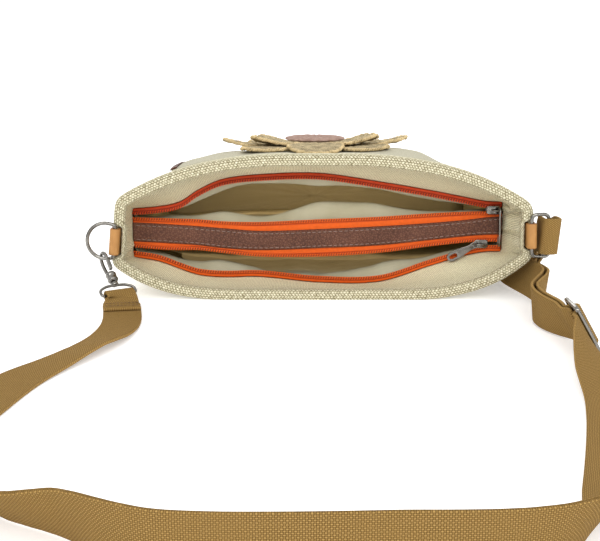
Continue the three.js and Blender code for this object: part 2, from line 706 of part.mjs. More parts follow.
function hookBody() {
  const route = new THREE.CatmullRomCurve3(HOOK_ROUTE.map(({ x, z }) => vec(x, 0, z)));
  return fused(
    wire(route.getSpacedPoints(HOOK_STEPS), HOOK_WIRE, vec(0, 1, 0)),
    turned(BARREL_PROFILE, TURNED_SIDES),
  );
}

// A plate of even wall cut to an outline in X and Z, its middle plane at Y = 0.
function plate(outline, wall, holes = []) {
  const shape = new THREE.Shape(outline.map(({ x, z }) => new THREE.Vector2(x, z)));
  shape.holes.push(...holes);
  return new THREE.ExtrudeGeometry(shape, { depth: wall, bevelEnabled: false })
    .translate(0, 0, -wall / 2)
    .rotateX(Math.PI / 2);
}

function swivelEye() {
  const route = [
    ...EYE_SIDE.map(({ out, z }) => vec(0, out, z)),
    vec(0, 0, EYE_TOP),
    ...EYE_SIDE.toReversed().map(({ out, z }) => vec(0, -out, z)),
  ];
  return fused(wire(route, EYE_WIRE, vec(1, 0, 0), true), turned(STEM_PROFILE, TURNED_SIDES));
}

// Smooth stations along a route: place, direction of travel, and direction across the webbing.
function stationsAlong(rows) {
  const height = ({ lift, bank }) => lift
    + (STRAP_WIDE / 2) * Math.abs(Math.sin(radians(bank)))
    + (STRAP_THICK / 2) * Math.abs(Math.cos(radians(bank)));
  const points = rows.map((row) => vec(row.x, row.y, height(row)));
  const places = new THREE.CatmullRomCurve3(points, false, "centripetal");
  const columns = rows.map(({ bank, spread: layer = 0 }, row) => ({ row, bank, layer }));
  const count = (rows.length - 1) * STRAP_STEPS_PER_ROW;
  return Array.from({ length: count + 1 }, (_, i) => {
    const along = places.getTangent(i / count);
    const level = vec(0, 0, 1).cross(along).normalize();
    const bank = radians(read(columns, "row", i / STRAP_STEPS_PER_ROW, "bank"));
    const across = level.clone().multiplyScalar(Math.cos(bank))
      .addScaledVector(along.clone().cross(level), Math.sin(bank));
    const layer = read(columns, "row", i / STRAP_STEPS_PER_ROW, "layer");
    return { place: places.getPoint(i / count), along, across, face: along.clone().cross(across), layer };
  });
}

// A station moved along its travel and off its face.
const moved = ({ place, along, across, face }, ahead, off) => ({
  place: place.clone().addScaledVector(along, ahead).addScaledVector(face, off), along, across, face,
});

// Half turn round a bar, from one side by way of the nose to the other side.
function halfTurn(middle, side, nose, across, steps) {
  return Array.from({ length: steps + 1 }, (_, i) => {
    const angle = (Math.PI * i) / steps;
    const place = middle.clone()
      .addScaledVector(side, Math.cos(angle))
      .addScaledVector(nose, Math.sin(angle));
    return { place, across };
  });
}

// The whole strap: sewn tail, turn round the swivel eye, the long way to the slider, double to the square
// ring, round its bar and back to the slider's middle bar.
function strapStations(all, atSlider, hook, ringBar) {
  const clear = all.filter(({ place }) => place.distanceTo(atSlider.place) > SLIDER_CLEAR);
  const single = clear.filter((station) => all.indexOf(station) < all.indexOf(atSlider));
  const double = clear.filter((station) => all.indexOf(station) > all.indexOf(atSlider));

  const { leave, steps, radius, gather } = EYE_TURN;
  const across = vec(0, 1, 0).transformDirection(hook.matrixWorld);
  const upper = vec(1, 0, 0).transformDirection(hook.matrixWorld).multiplyScalar(radius);
  const lower = upper.clone().negate();
  const nose = vec(0, 0, 1).transformDirection(hook.matrixWorld);
  const bar = hook.localToWorld(vec(0, 0, EYE_BAR));
  const below = (side) => ({ place: bar.clone().add(side).addScaledVector(nose, -leave), across });
  const over = halfTurn(bar, upper, nose.clone().multiplyScalar(radius), across, steps);
  const eyeTurn = [below(upper), ...over, below(lower)].map((station) => ({ ...station, gather }));
  const tail = single.slice(0, TAIL.stations).toReversed()
    .map((station) => moved(station, 0, TAIL.above));

  const weave = WEAVE.map(({ along, off }) => moved(atSlider, along, off));
  const loopMiddle = vec(ringBar.x + RING_TURN.past, ringBar.y, ringBar.z - RING_TURN.drop);
  const loopSide = vec(-RING_TURN.across, 0, 0);
  const loopNose = vec(0, -RING_TURN.out, 0);
  const leaning = vec(Math.sin(radians(RING_TURN.lean)), 0, Math.cos(radians(RING_TURN.lean)));
  const ringTurn = halfTurn(loopMiddle, loopSide, loopNose, leaning, RING_TURN.steps);
  const back = double.toReversed().map((station) => moved(station, 0, -station.layer));
  const sewnEnd = SEWN_END.map(({ along, off }) => moved(atSlider, along, off));
  return [
    ...tail, ...eyeTurn, ...single, ...weave, ...double, ...ringTurn, ...back, ...sewnEnd,
  ];
}

function ribbon(stations, wide, thick) {
  return loft(stations.map(({ place, across, gather = 1 }, i) => {
    const before = stations[Math.max(i - 1, 0)].place;
    const after = stations[Math.min(i + 1, stations.length - 1)].place;
    const face = after.clone().sub(before).cross(across).normalize();
    return [[-1, -1], [1, -1], [1, 1], [-1, 1]].map(([side, up]) => place.clone()
      .addScaledVector(across, (side * wide * gather) / 2)
      .addScaledVector(face, (up * thick) / 2));
  }));
}

function strapSlider({ place, along, across, face }) {
  const { wide, long, bar, thick, corner, slotWide } = SLIDER;
  const frame = new THREE.Shape();
  const [x, y] = [wide / 2, long / 2];
  frame.moveTo(-x + corner, -y);
  frame.lineTo(x - corner, -y);
  frame.absarc(x - corner, -y + corner, corner, -Math.PI / 2, 0, false);
  frame.absarc(x - corner, y - corner, corner, 0, Math.PI / 2, false);
  frame.absarc(-x + corner, y - corner, corner, Math.PI / 2, Math.PI, false);
  frame.absarc(-x + corner, -y + corner, corner, Math.PI, 1.5 * Math.PI, false);
  for (const way of [-1, 1]) {
    const slot = new THREE.Path();
    const [inner, outer] = [(way * bar) / 2, way * (y - bar)];
    slot.moveTo(-slotWide / 2, inner);
    slot.lineTo(slotWide / 2, inner);
    slot.lineTo(slotWide / 2, outer);
    slot.lineTo(-slotWide / 2, outer);
    slot.closePath();
    frame.holes.push(slot);
  }
  const geometry = new THREE.ExtrudeGeometry(frame, { depth: thick, bevelEnabled: false, curveSegments: 3 })
    .translate(0, 0, -thick / 2);
  const basis = new THREE.Matrix4().makeBasis(across, along, face.clone().negate()).setPosition(place);
  return geometry.applyMatrix4(basis);
}

// Zip slider: plates before and behind the tapes, a post between them and a crown that carries the pull.
function zipSlider({ x, z, crownLeft, crownRight }) {
  const { wall, front, back, post, postLong } = ZIP_PLATE;
  const cover = (y) => plate(ZIP_PLATE_OUTLINE, wall).translate(x, ZIP_Y + y, z);
  const block = (x0, x1, y0, y1, high) => new THREE.BoxGeometry(x1 - x0, y1 - y0, high)
    .translate((x0 + x1) / 2, ZIP_Y + (y0 + y1) / 2, z);
  const { wire: gauge, out } = CROWN;
  return fused(
    cover(front),
    cover(back),
    block(x - postLong / 2, x + postLong / 2, front, back, post),
    block(crownLeft, crownLeft + gauge, -out, front, gauge),
    block(crownRight - gauge, crownRight, -out, front, gauge),
    block(crownLeft, crownRight, -out, -out + gauge, gauge),
  );
}

// Pull hanging from its eye along -Y of its own outline, with a slot near its round end.
function zipPull(long) {
  const { wall, eye, neck, waist, waistAt, half, slot, slotLong } = PULL;
  const outline = new THREE.Shape();
  outline.absarc(0, 0, neck, 0, Math.PI, false);
  outline.lineTo(-waist, -waistAt);
  outline.lineTo(-half, -long * PULL_TAPER);
  outline.absarc(0, -long + half, half, Math.PI, 2 * Math.PI, false);
  outline.lineTo(half, -long * PULL_TAPER);
  outline.lineTo(waist, -waistAt);
  outline.closePath();
  const round = new THREE.Path();
  round.absarc(0, 0, eye, 0, 2 * Math.PI, true);
  const oval = new THREE.Path();
  oval.absarc(0, -long + half + slotLong, slot, 0, Math.PI, false);
  oval.absarc(0, -long + half, slot, Math.PI, 2 * Math.PI, false);
  oval.closePath();
  outline.holes.push(round, oval);
  return new THREE.ExtrudeGeometry(outline, { depth: wall, bevelEnabled: false, curveSegments: 5 })
    .translate(0, 0, -wall / 2);
}

// Body, zip panel and linings
add("shell", shell(), JUTE);
add("facing", facing(), JUTE);
add("centre_strip", centreStrip(), BROWN_LEATHER);
const outerBack = ZIP_Y + TAPE_WALL;
const innerBack = outerBack + TAPE_STAGGER;
const edge = (column, offset) => (x) => zip(column, x) + offset;
const TAPES = {
  zip_tape_front_outer: [edge("frontOut", TAPE_ROOT), edge("frontOut", -TAPE_FREE), outerBack],
  zip_tape_front_inner: [edge("stripTop", -TAPE_TUCK), edge("frontIn", 0), innerBack],
  zip_tape_back_inner: [edge("stripLow", TAPE_TUCK), edge("backIn", 0), innerBack],
  zip_tape_back_outer: [edge("backOut", -TAPE_ROOT), edge("backOut", TAPE_FREE), outerBack],
};
for (const [name, [root, free, back]] of Object.entries(TAPES)) {
  add(name, zipTape(root, free, back), ZIP_ORANGE);
}
add("lining_front", liningPouch(true), LINING);
add("lining_back", liningPouch(false), LINING);

// Patch and flower
add("front_patch", frontPatch(), COTTON);
add("patch_binding", patchBinding(), BROWN_LEATHER);
LOWER_ROWS.forEach((row, i) => {
  add(`petal_lower_${i + 1}`, petal(LOWER_PETALS, row, LOWER_ROWS.length), BURLAP);
});
UPPER_ROWS.forEach((row, i) => {
  add(`petal_upper_${i + 1}`, petal(UPPER_PETALS, row, UPPER_ROWS.length), BURLAP);
});
add("flower_centre", mergeVertices(turned(CENTRE_PROFILE, CENTRE.sides)), MAUVE).position
  .set(FLOWER_X, FLOWER_Y, patchTop(FLOWER_X, FLOWER_Y) + CENTRE.lie);

// Tabs and rings at the ends of the rim, leaning with the end walls
function ringPlace({ z }, way) {
  const row = SECTIONS[0];
  const [half, low, top, lean] = way < 0
    ? [row.left, row.leftLow, row.leftTop, LEFT_LEAN]
    : [row.right, row.rightLow, row.rightTop, RIGHT_LEAN];
  const place = new THREE.Group();
  place.position.set(way * (half - (lean * (z - low)) / (top - low) - SHELL_WALL / 2), RING_Y, z);
  place.rotation.y = -way * Math.atan2(lean, top - low);
  bag.add(place);
  return place;
}
const leftPlace = ringPlace(LEFT_RING, -1);
add("tab_left", tab(LEFT_RING.tabHigh), TAN_LEATHER, leftPlace);
add("ring_left", dRing(LEFT_RING), NICKEL, leftPlace);
const rightPlace = ringPlace(RIGHT_RING, 1);
add("tab_right", tab(RIGHT_RING.tabHigh), TAN_LEATHER, rightPlace);
add("ring_right", squareRing(RIGHT_RING), NICKEL, rightPlace);
bag.updateMatrixWorld(true);

// Snap hook: its bow hangs on the bow of the D-ring, its swivel eye's bar lies level
const bow = LEFT_RING.high / 2 - RING_WIRE;
const onBow = leftPlace.localToWorld(vec(
  bow - LEFT_RING.reach + bow * Math.cos(radians(HOOK_ON_BOW)), 0, bow * Math.sin(radians(HOOK_ON_BOW))));
const hook = new THREE.Group();
const level = HOOK_AXIS.clone().cross(vec(0, 0, 1)).normalize();
const hookBasis = new THREE.Matrix4().makeBasis(level.clone().cross(HOOK_AXIS), level, HOOK_AXIS);
hook.quaternion.setFromRotationMatrix(hookBasis);
hook.position.copy(onBow).addScaledVector(HOOK_AXIS, -HOOK_RING_POINT);
bag.add(hook);
add("snap_hook", hookBody(), NICKEL, hook);
add("snap_gate", plate(GATE_OUTLINE, GATE_THICK), NICKEL, hook);
add("swivel_eye", swivelEye(), NICKEL, hook);
bag.updateMatrixWorld(true);

// Strap and its slider
const ringBar = rightPlace.localToWorld(vec(RIGHT_RING.reach, 0, 0));
const laid = stationsAlong([...STRAP_ROUTE, SLIDER_AT, ...DOUBLE_ROUTE]);
const atSlider = laid[STRAP_ROUTE.length * STRAP_STEPS_PER_ROW];
add("strap", ribbon(strapStations(laid, atSlider, hook, ringBar), STRAP_WIDE, STRAP_THICK), WEBBING);
add("strap_slider", strapSlider(atSlider), NICKEL);

// Zip sliders and their pulls
add("zip_slider_front", zipSlider(FRONT_SLIDER), NICKEL);
add("zip_slider_back", zipSlider(BACK_SLIDER), NICKEL);
const crownY = ZIP_Y - CROWN.out + CROWN.wire / 2;
const frontPull = zipPull(FRONT_PULL.long).rotateY(Math.PI / 2).rotateX(Math.PI / 2);
add("zip_pull_front", frontPull, NICKEL).position.set(FRONT_PULL.x, crownY, FRONT_SLIDER.z);
const backPull = zipPull(BACK_PULL.long).rotateX(Math.PI / 2).rotateY(radians(90 - BACK_PULL.drop));
add("zip_pull_back", backPull, NICKEL).position
  .set(BACK_SLIDER.crownLeft + CROWN.wire / 2, ZIP_Y - BACK_PULL.out, BACK_SLIDER.z);

export default bag;
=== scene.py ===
"""Jute shoulder bag on its back panel, mouth to the camera, strap laid out in front. Sizes in millimetres."""

import math
from functools import reduce

import bmesh
import bpy
import numpy as np
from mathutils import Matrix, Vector


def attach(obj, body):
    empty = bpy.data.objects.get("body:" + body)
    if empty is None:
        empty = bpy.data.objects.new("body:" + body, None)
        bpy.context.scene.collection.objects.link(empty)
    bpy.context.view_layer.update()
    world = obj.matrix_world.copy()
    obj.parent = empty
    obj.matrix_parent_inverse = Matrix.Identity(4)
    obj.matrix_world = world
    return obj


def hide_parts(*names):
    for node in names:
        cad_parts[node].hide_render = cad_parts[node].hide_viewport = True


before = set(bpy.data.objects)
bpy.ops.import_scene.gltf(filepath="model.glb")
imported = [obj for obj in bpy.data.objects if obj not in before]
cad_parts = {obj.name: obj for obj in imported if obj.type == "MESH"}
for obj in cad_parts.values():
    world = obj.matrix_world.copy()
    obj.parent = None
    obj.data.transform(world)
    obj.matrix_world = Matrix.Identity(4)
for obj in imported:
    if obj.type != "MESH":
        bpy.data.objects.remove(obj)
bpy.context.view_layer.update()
MM = 0.001
scene = bpy.context.scene
rng = np.random.default_rng(11)

# Camera at the photograph's angle
CAMERA_AT, CAMERA_DOWN, CAMERA_LENS, CAMERA_SENSOR = (-14, -870, 167.5), 11, 63, 36
camera_data = bpy.data.cameras.new("camera")
camera_data.lens = CAMERA_LENS
camera_data.sensor_width = CAMERA_SENSOR
camera = bpy.data.objects.new("camera", camera_data)
camera.location = Vector(CAMERA_AT) * MM
camera.rotation_euler = (math.radians(90 - CAMERA_DOWN), 0, 0)
scene.collection.objects.link(camera)
scene.camera = camera
scene.view_settings.view_transform = "Standard"


def unit(v):
    return v / np.linalg.norm(v, axis=-1, keepdims=True)


def vec(*values):
    return np.array(values, float)


def mix(a, b, share):
    return a + (b - a) * share


def ease(low, high, at):
    """Smooth step from 0 at low to 1 at high."""
    t = np.clip((np.asarray(at, float) - low) / (high - low), 0, 1)
    return t * t * (3 - 2 * t)


def hump(at, middle, reach):
    """Bell of height 1 about a middle."""
    return np.exp(-((at - middle) / reach) ** 2)


def table(columns, *rows):
    """Named columns of a table of rows."""
    return dict(zip(columns.split(), np.array(rows, float).T))


def smoothed(points, shares):
    """Places on the centripetal curve through points, at shares of its rows."""
    points = np.asarray(points, float)
    last = len(points) - 1
    padded = np.vstack([2 * points[0] - points[1], points, 2 * points[last] - points[last - 1]])
    out = []
    for share in shares:
        i = min(int(share * last), last - 1)
        w = share * last - i
        a, b, c, d = padded[i:i + 4]
        ta, tb, tc = (max(np.linalg.norm(q - p) ** 0.5, 1e-3) for p, q in ((a, b), (b, c), (c, d)))
        first = ((b - a) / ta - (c - a) / (ta + tb) + (c - b) / tb) * tb
        second = ((c - b) / tb - (d - b) / (tb + tc) + (d - c) / tc) * tb
        out.append(b + first * w + (3 * (c - b) - 2 * first - second) * w ** 2
                   + (2 * (b - c) + first + second) * w ** 3)
    return np.array(out)


def read(keys, values, at):
    """Smooth reading of a table's column at places between its rows."""
    keys, values, at = np.asarray(keys, float), np.asarray(values, float), np.asarray(at, float)
    wide = np.arange(len(keys))
    low, high = np.maximum(wide - 1, 0), np.minimum(wide + 1, len(keys) - 1)
    slope = (values[high] - values[low]) / (keys[high] - keys[low])
    i = np.clip(np.searchsorted(keys, at, side="right") - 1, 0, len(keys) - 2)
    span = keys[i + 1] - keys[i]
    t = np.clip((at - keys[i]) / span, 0, 1)
    return ((2 * t ** 3 - 3 * t ** 2 + 1) * values[i] + (t ** 3 - 2 * t ** 2 + t) * span * slope[i]
            + (3 * t ** 2 - 2 * t ** 3) * values[i + 1] + (t ** 3 - t ** 2) * span * slope[i + 1])


def curve(*rows):
    """Smooth function through rows of place and value."""
    keys, values = np.array(rows, float).T
    return lambda at: read(keys, values, at)


def between_rows(at, keys, points):
    """Places on the straight stretches between points that stand at keys."""
    return np.stack([np.interp(at, keys, column) for column in np.transpose(points)], -1)


def ripple(a, b, wavelength, waves=7):
    """Soft random undulation from -1 to 1 over two directions, drawn from the seeded generator."""
    total = np.zeros(np.broadcast(a, b).shape)
    for _ in range(waves):
        turn, phase, size = rng.uniform(0, math.tau), rng.uniform(0, math.tau), rng.uniform(0.7, 1.6)
        reach = math.tau / (wavelength * size)
        total += np.sin(reach * (np.cos(turn) * a + np.sin(turn) * b) + phase)
    return total / waves ** 0.5 / 1.6


def ripples(a, b, *sizes):
    """Sum of ripples, each given by its wavelength and height."""
    return sum(ripple(a, b, wavelength) * height for wavelength, height in sizes)


def lengths(path):
    """Distance run along a path at each of its points."""
    return np.concatenate([[0], np.cumsum(np.linalg.norm(np.diff(path, axis=0), axis=1))])


def grid_faces(rows, columns, around=False, along=False, first=False, last=False):
    """Quads of a grid; around closes each row, along joins last row to first, first and last cap the ends."""
    faces = []
    for i in range(rows if along else rows - 1):
        for j in range(columns if around else columns - 1):
            k, n = (j + 1) % columns, (i + 1) % rows
            faces.append((i * columns + j, i * columns + k, n * columns + k, n * columns + j))
    if first:
        faces.append(tuple(range(columns))[::-1])
    if last:
        faces.append(tuple(range((rows - 1) * columns, rows * columns)))
    return faces


def uv_grid(across, along):
    return np.stack(np.meshgrid(across, along), -1)


class Shape:
    """Points, faces and UV of a piece in the making; parts are joined with +."""

    def __init__(self, points, faces, uv=None, relief=None):
        self.points = np.asarray(points, float).reshape(-1, 3)
        self.faces = [tuple(f) for f in faces]
        count = len(self.points)
        self.uv = np.zeros((count, 2)) if uv is None else np.asarray(uv, float).reshape(-1, 2)
        self.relief = np.zeros(count) if relief is None else np.asarray(relief, float).ravel()

    def __add__(self, other):
        start = len(self.points)
        return Shape(np.vstack([self.points, other.points]),
                     self.faces + [tuple(start + k for k in f) for f in other.faces],
                     np.vstack([self.uv, other.uv]), np.concatenate([self.relief, other.relief]))

    def placed(self, x_axis, y_axis, z_axis, origin):
        """The same shape with its own axes laid along the given ones."""
        points = self.points @ np.stack([x_axis, y_axis, z_axis]) + origin
        return Shape(points, self.faces, self.uv, self.relief)


def joined(shapes):
    return reduce(Shape.__add__, shapes)


def piece(name, shape, material, stands_for=(), body="bag", period=0, wall=0):
    """A piece riding on a body. period: width over which its UV closes; wall: thickness of an open sheet."""
    mesh = bpy.data.meshes.new(name)
    mesh.from_pydata((shape.points * MM).tolist(), [], shape.faces)
    index = np.empty(len(mesh.loops), int)
    mesh.loops.foreach_get("vertex_index", index)
    uv = shape.uv[index]
    if period:
        starts, sizes = np.empty(len(mesh.polygons), int), np.empty(len(mesh.polygons), int)
        mesh.polygons.foreach_get("loop_start", starts)
        mesh.polygons.foreach_get("loop_total", sizes)
        top = np.repeat(np.maximum.reduceat(uv[:, 0], starts), sizes)
        uv[top - uv[:, 0] > period / 2, 0] += period
    mesh.uv_layers.new(name="cloth").data.foreach_set("uv", uv.ravel())
    mesh.attributes.new("relief", "FLOAT", "POINT").data.foreach_set("value", shape.relief)
    mesh.polygons.foreach_set("use_smooth", [True] * len(mesh.polygons))
    mesh.materials.append(material)
    obj = bpy.data.objects.new(name, mesh)
    scene.collection.objects.link(obj)
    if wall:
        solid = obj.modifiers.new("wall", "SOLIDIFY")
        solid.thickness = wall * MM
        solid.offset = -1
    else:
        edit = bmesh.new()
        edit.from_mesh(mesh)
        bmesh.ops.recalc_face_normals(edit, faces=edit.faces)
        edit.to_mesh(mesh)
        edit.free()
    mesh.update()
    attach(obj, body)
    if stands_for:
        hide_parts(*stands_for)
    return obj


def sweep(path, side, section, scale=None, closed=False):
    """A closed section carried along a path, its first coordinate along side, its second square to it."""
    path, section = np.asarray(path, float), np.asarray(section, float)
    ahead = np.roll(path, -1, 0) - np.roll(path, 1, 0) if closed else np.gradient(path, axis=0)
    along = unit(ahead)
    side = np.broadcast_to(side, path.shape)
    side = unit(side - along * np.sum(side * along, 1, keepdims=True))
    face = np.cross(along, side)
    size = np.ones(len(path)) if scale is None else np.asarray(scale, float)
    flat = section[None] * size.reshape(len(path), 1, -1)
    points = path[:, None] + side[:, None] * flat[..., :1] + face[:, None] * flat[..., 1:]
    faces = grid_faces(*points.shape[:2], around=True, along=closed, first=not closed, last=not closed)
    uv = np.stack(np.broadcast_arrays(flat[..., 0], lengths(path)[:, None]), -1)
    return Shape(points, faces, uv)


def arc(x, y, radius, start, end, steps=12):
    """Points of an arc about a middle, angles in degrees."""
    return [(x + radius * math.cos(a), y + radius * math.sin(a))
            for a in np.radians(np.linspace(start, end, steps))]


def round_box(x0, x1, y0, y1, corner, steps=7):
    """Outline of a rectangle with round corners."""
    middles = ((x1 - corner, y0 + corner), (x1 - corner, y1 - corner),
               (x0 + corner, y1 - corner), (x0 + corner, y0 + corner))
    return [point for k, middle in enumerate(middles)
            for point in arc(*middle, corner, 90 * k - 90, 90 * k, steps)]


def upright(flat):
    """Path in the plane of X and Z through flat places."""
    x, z = np.array(flat, float).T
    return np.stack([x, np.zeros(len(x)), z], 1)


def circle(radius, sides=14):
    angle = np.arange(sides) * math.tau / sides
    return radius * np.stack([np.cos(angle), np.sin(angle)], 1)


def strip_section(wide, thick, columns, edge):
    """Outline of a flat band with round edges."""
    half, up = wide / 2, thick / 2
    flat = np.linspace(-half + edge, half - edge, columns)
    turn = np.radians([-60, -30, 0, 30, 60])
    right = np.stack([half - edge + edge * np.cos(turn), up * np.sin(turn)], 1)
    return np.vstack([np.stack([flat, np.full(columns, -up)], 1), right,
                      np.stack([flat[::-1], np.full(columns, up)], 1), -right])


def turned(profile, sides=24):
    """Body turned about Z from a profile of radii and heights that starts and ends on the axis."""
    rows = [np.column_stack([circle(r, sides), np.full(sides, z)]) for r, z in profile[1:-1]]
    points = np.vstack(rows + [[0, 0, profile[0][1]], [0, 0, profile[-1][1]]])
    low = len(rows) * sides
    faces = grid_faces(len(rows), sides, around=True)
    for start, tip in ((0, low), (low - sides, low + 1)):
        faces += [(start + k, start + (k + 1) % sides, tip) for k in range(sides)]
    return Shape(points, faces)


def stitches(places, along, up, long, thick):
    """Row of thread stitches: small rounded grains lying along the seam."""
    steps = np.linspace(-0.5, 0.5, 5)
    rise = (0.25 - steps ** 2) * 4 * thick * 0.6
    along, up = np.broadcast_to(along, places.shape), np.broadcast_to(up, places.shape)
    return joined(sweep(place + np.outer(steps * long, ahead) + np.outer(rise, top), top,
                        circle(thick / 2, 6), scale=[0.45, 0.9, 1, 0.9, 0.45])
                  for place, ahead, top in zip(places, along, up))


# Materials written as node expressions
class Value:
    """A node's output, with arithmetic that adds math nodes."""

    def __init__(self, paint, socket):
        self.paint = paint
        self.socket = socket

    def op(self, operation, *others, clamp=False):
        node = self.paint.node("ShaderNodeMath", operation=operation, use_clamp=clamp)
        for socket, value in zip(node.inputs, (self,) + others):
            self.paint.put(socket, value)
        return Value(self.paint, node.outputs[0])

    def __add__(self, other):
        return self.op("ADD", other)

    def __sub__(self, other):
        return self.op("SUBTRACT", other)

    def __mul__(self, other):
        return self.op("MULTIPLY", other)

    def inverse(self):
        return self.op("MULTIPLY_ADD", -1.0, 1.0)

    def between(self, low, high):
        """0 at low, 1 at high, held outside."""
        return self.op("MULTIPLY_ADD", 1 / (high - low), -low / (high - low), clamp=True)

    def wave(self, pitch):
        """Sine that changes sign at every pitch."""
        return (self * (math.pi / pitch)).op("SINE")


class Paint:
    """Nodes of a material or of the surroundings: each method adds a node and gives its output."""

    def __init__(self, name, kind=bpy.data.materials, shader="Principled BSDF", **shader_values):
        self.owner = kind.new(name)
        self.owner.use_nodes = True
        self.nodes = self.owner.node_tree.nodes
        self.links = self.owner.node_tree.links
        self.shader = self.nodes[shader]
        self.fill(self.shader, shader_values)

    def node(self, kind, **settings):
        node = self.nodes.new(kind)
        for name, value in settings.items():
            setattr(node, name, value)
        return node

    def put(self, socket, value):
        if isinstance(value, Value):
            self.links.new(value.socket, socket)
        else:
            socket.default_value = value

    def fill(self, node, inputs):
        for name, value in inputs.items():
            self.put(node.inputs[name.replace("_", " ")], value)

    def add(self, kind, output, settings=(), **inputs):
        node = self.node(kind, **dict(settings))
        self.fill(node, inputs)
        return Value(self, node.outputs[output])

    def parts(self, vector):
        node = self.node("ShaderNodeSeparateXYZ")
        self.put(node.inputs[0], vector)
        return [Value(self, output) for output in node.outputs]

    def cloth(self):
        """The cloth's two directions in millimetres, and both as one vector."""
        both = self.add("ShaderNodeUVMap", 0, {"uv_map": "cloth"})
        u, v, _ = self.parts(both)
        return u, v, both

    def space(self, kind="Object"):
        """Place on the piece, in metres, or direction in the surroundings."""
        return self.add("ShaderNodeTexCoord", kind)

    def relief(self):
        return self.add("ShaderNodeAttribute", "Fac", {"attribute_name": "relief"})

    def stretched(self, vector, x, y, z=1.0):
        return self.add("ShaderNodeMapping", 0, Vector=vector, Scale=(x, y, z))

    def noise(self, vector, scale, detail=3.0, roughness=0.55):
        return self.add("ShaderNodeTexNoise", "Fac", Vector=vector, Scale=scale, Detail=detail,
                        Roughness=roughness)

    def cells(self, vector, scale, feature="F1"):
        return self.add("ShaderNodeTexVoronoi", "Distance", {"feature": feature}, Vector=vector, Scale=scale)

    def tones(self, value, *stops):
        """Colour from a value by stops of place and colour."""
        node = self.node("ShaderNodeValToRGB")
        self.put(node.inputs["Fac"], value)
        ramp = node.color_ramp.elements
        while len(ramp) < len(stops):
            ramp.new(0.5)
        for element, (place, color) in zip(ramp, stops):
            element.position = place
            element.color = (*color, 1)
        return Value(self, node.outputs["Color"])

    def blend(self, share, a, b):
        """Colour between a and b by share."""
        node = self.node("ShaderNodeMix", data_type="RGBA")
        self.put(node.inputs["Factor"], share)
        colors = [socket for socket in node.inputs if socket.type == "RGBA"]
        for socket, value in zip(colors, (a, b)):
            self.put(socket, value if isinstance(value, Value) else (*value, 1))
        return Value(self, next(socket for socket in node.outputs if socket.type == "RGBA"))

    def weave(self, pitch_u, pitch_v, wander=0.0, slow=0.0, detail=2):
        """Plain weave: height, 1 where the yarn along v is on top, and the cloth. wander: uneven yarns."""
        u, v, both = self.cloth()
        if wander:
            aside = self.noise(both, slow, detail) * wander
            u, v = u + aside, v + aside
        a, b = u.wave(pitch_u), v.wave(pitch_v)
        over = (a * b).op("MULTIPLY_ADD", 1.6, 0.5, clamp=True)
        along_v, along_u = (wave.op("ABSOLUTE").op("POWER", 0.6) for wave in (a, b))
        return (along_v * over).op("MAXIMUM", along_u * over.inverse()), over, both

    def done(self, color, height, depth, roughness=None):
        """Join colour, relief in millimetres and roughness to the shader."""
        self.fill(self.shader, {"Base_Color": color})
        if roughness is not None:
            self.fill(self.shader, {"Roughness": roughness})
        bump = self.add("ShaderNodeBump", 0, Strength=1.0, Distance=depth * MM, Height=height)
        self.fill(self.shader, {"Normal": bump})
        return self.owner


def woven(name, tops, gaps, pitch, depth, slub=0.5, stain=0.12):
    """Plain woven cloth: yarns of uneven thickness, darker gaps, slow changes of tone."""
    paint = Paint(name, Roughness=0.95, Specular_IOR_Level=0.08)
    tops, gaps = vec(*tops), vec(*gaps)
    height, over, both = paint.weave(pitch, pitch, wander=pitch * 0.9, slow=0.12)
    thick = paint.noise(paint.stretched(both, 0.05, 0.8), 1.0, 2)
    thin = paint.noise(paint.stretched(both, 0.8, 0.05), 1.0, 2)
    yarn = (thick * over.inverse() + thin * over).between(0.3, 0.7)
    shade = height * yarn.op("MULTIPLY_ADD", slub, 1 - slub)
    color = paint.tones(shade, (0.12, gaps), (0.55, mix(gaps, tops, 0.62)), (0.95, tops))
    slow = paint.noise(both, 0.02, 3).between(0.3, 0.75)
    color = paint.blend(slow * stain, color, gaps * 0.9)
    return paint.done(color, shade + paint.noise(both, 2.2, 4) * 0.25, depth)


def facing_cloth_paint():
    """Cloth of the facing: an open weave of pale yarn, its dark gaps clearest beside the hem and its colour
    painted lighter deeper in, as painted light against the shade of the recess.
    """
    paint = Paint("facing_weave", Roughness=0.95, Specular_IOR_Level=0.08)
    height, _, both = paint.weave(1.2, 1.2, wander=2.0, slow=0.1)
    slub = paint.noise(paint.stretched(both, 0.5, 0.5), 1.0, 3)
    shade = height * 0.75 + slub * 0.35
    near = paint.tones(shade, (0.5, (0.19, 0.165, 0.09)), (0.8, (0.76, 0.71, 0.48)),
                       (0.97, (0.95, 0.94, 0.76)))
    # Deeper in, lighter gaps and tops: painted light where the recess is in shade.
    deep = paint.tones(shade, (0.5, (0.44, 0.385, 0.235)), (0.9, (0.97, 0.92, 0.66)))
    from_hem = paint.parts(both)[1]
    color = paint.blend(from_hem.between(1.0, 24.0), near, deep)
    slow = paint.noise(both, 0.03, 3).between(0.3, 0.75)
    color = paint.blend(slow * 0.2, color, (0.58, 0.48, 0.30))
    return paint.done(color, shade, 0.4)


def hem_yarn():
    """Coarse cream yarn of the rim's band: bright on top of each float, olive between them."""
    paint = Paint("hem_yarn", Roughness=0.95, Specular_IOR_Level=0.08)
    _, _, both = paint.cloth()
    fibre = paint.noise(paint.stretched(both, 3, 3), 1.0, 4)
    patchy = paint.noise(both, 0.35, 2).between(0.3, 0.7)
    value = paint.relief() + (fibre - 0.5) * 0.35 + (patchy - 0.5) * 0.18
    color = paint.tones(value, (0.15, (0.18, 0.15, 0.08)), (0.5, (0.56, 0.515, 0.35)),
                        (0.95, (0.92, 0.89, 0.72)))
    return paint.done(color, fibre, 0.12)


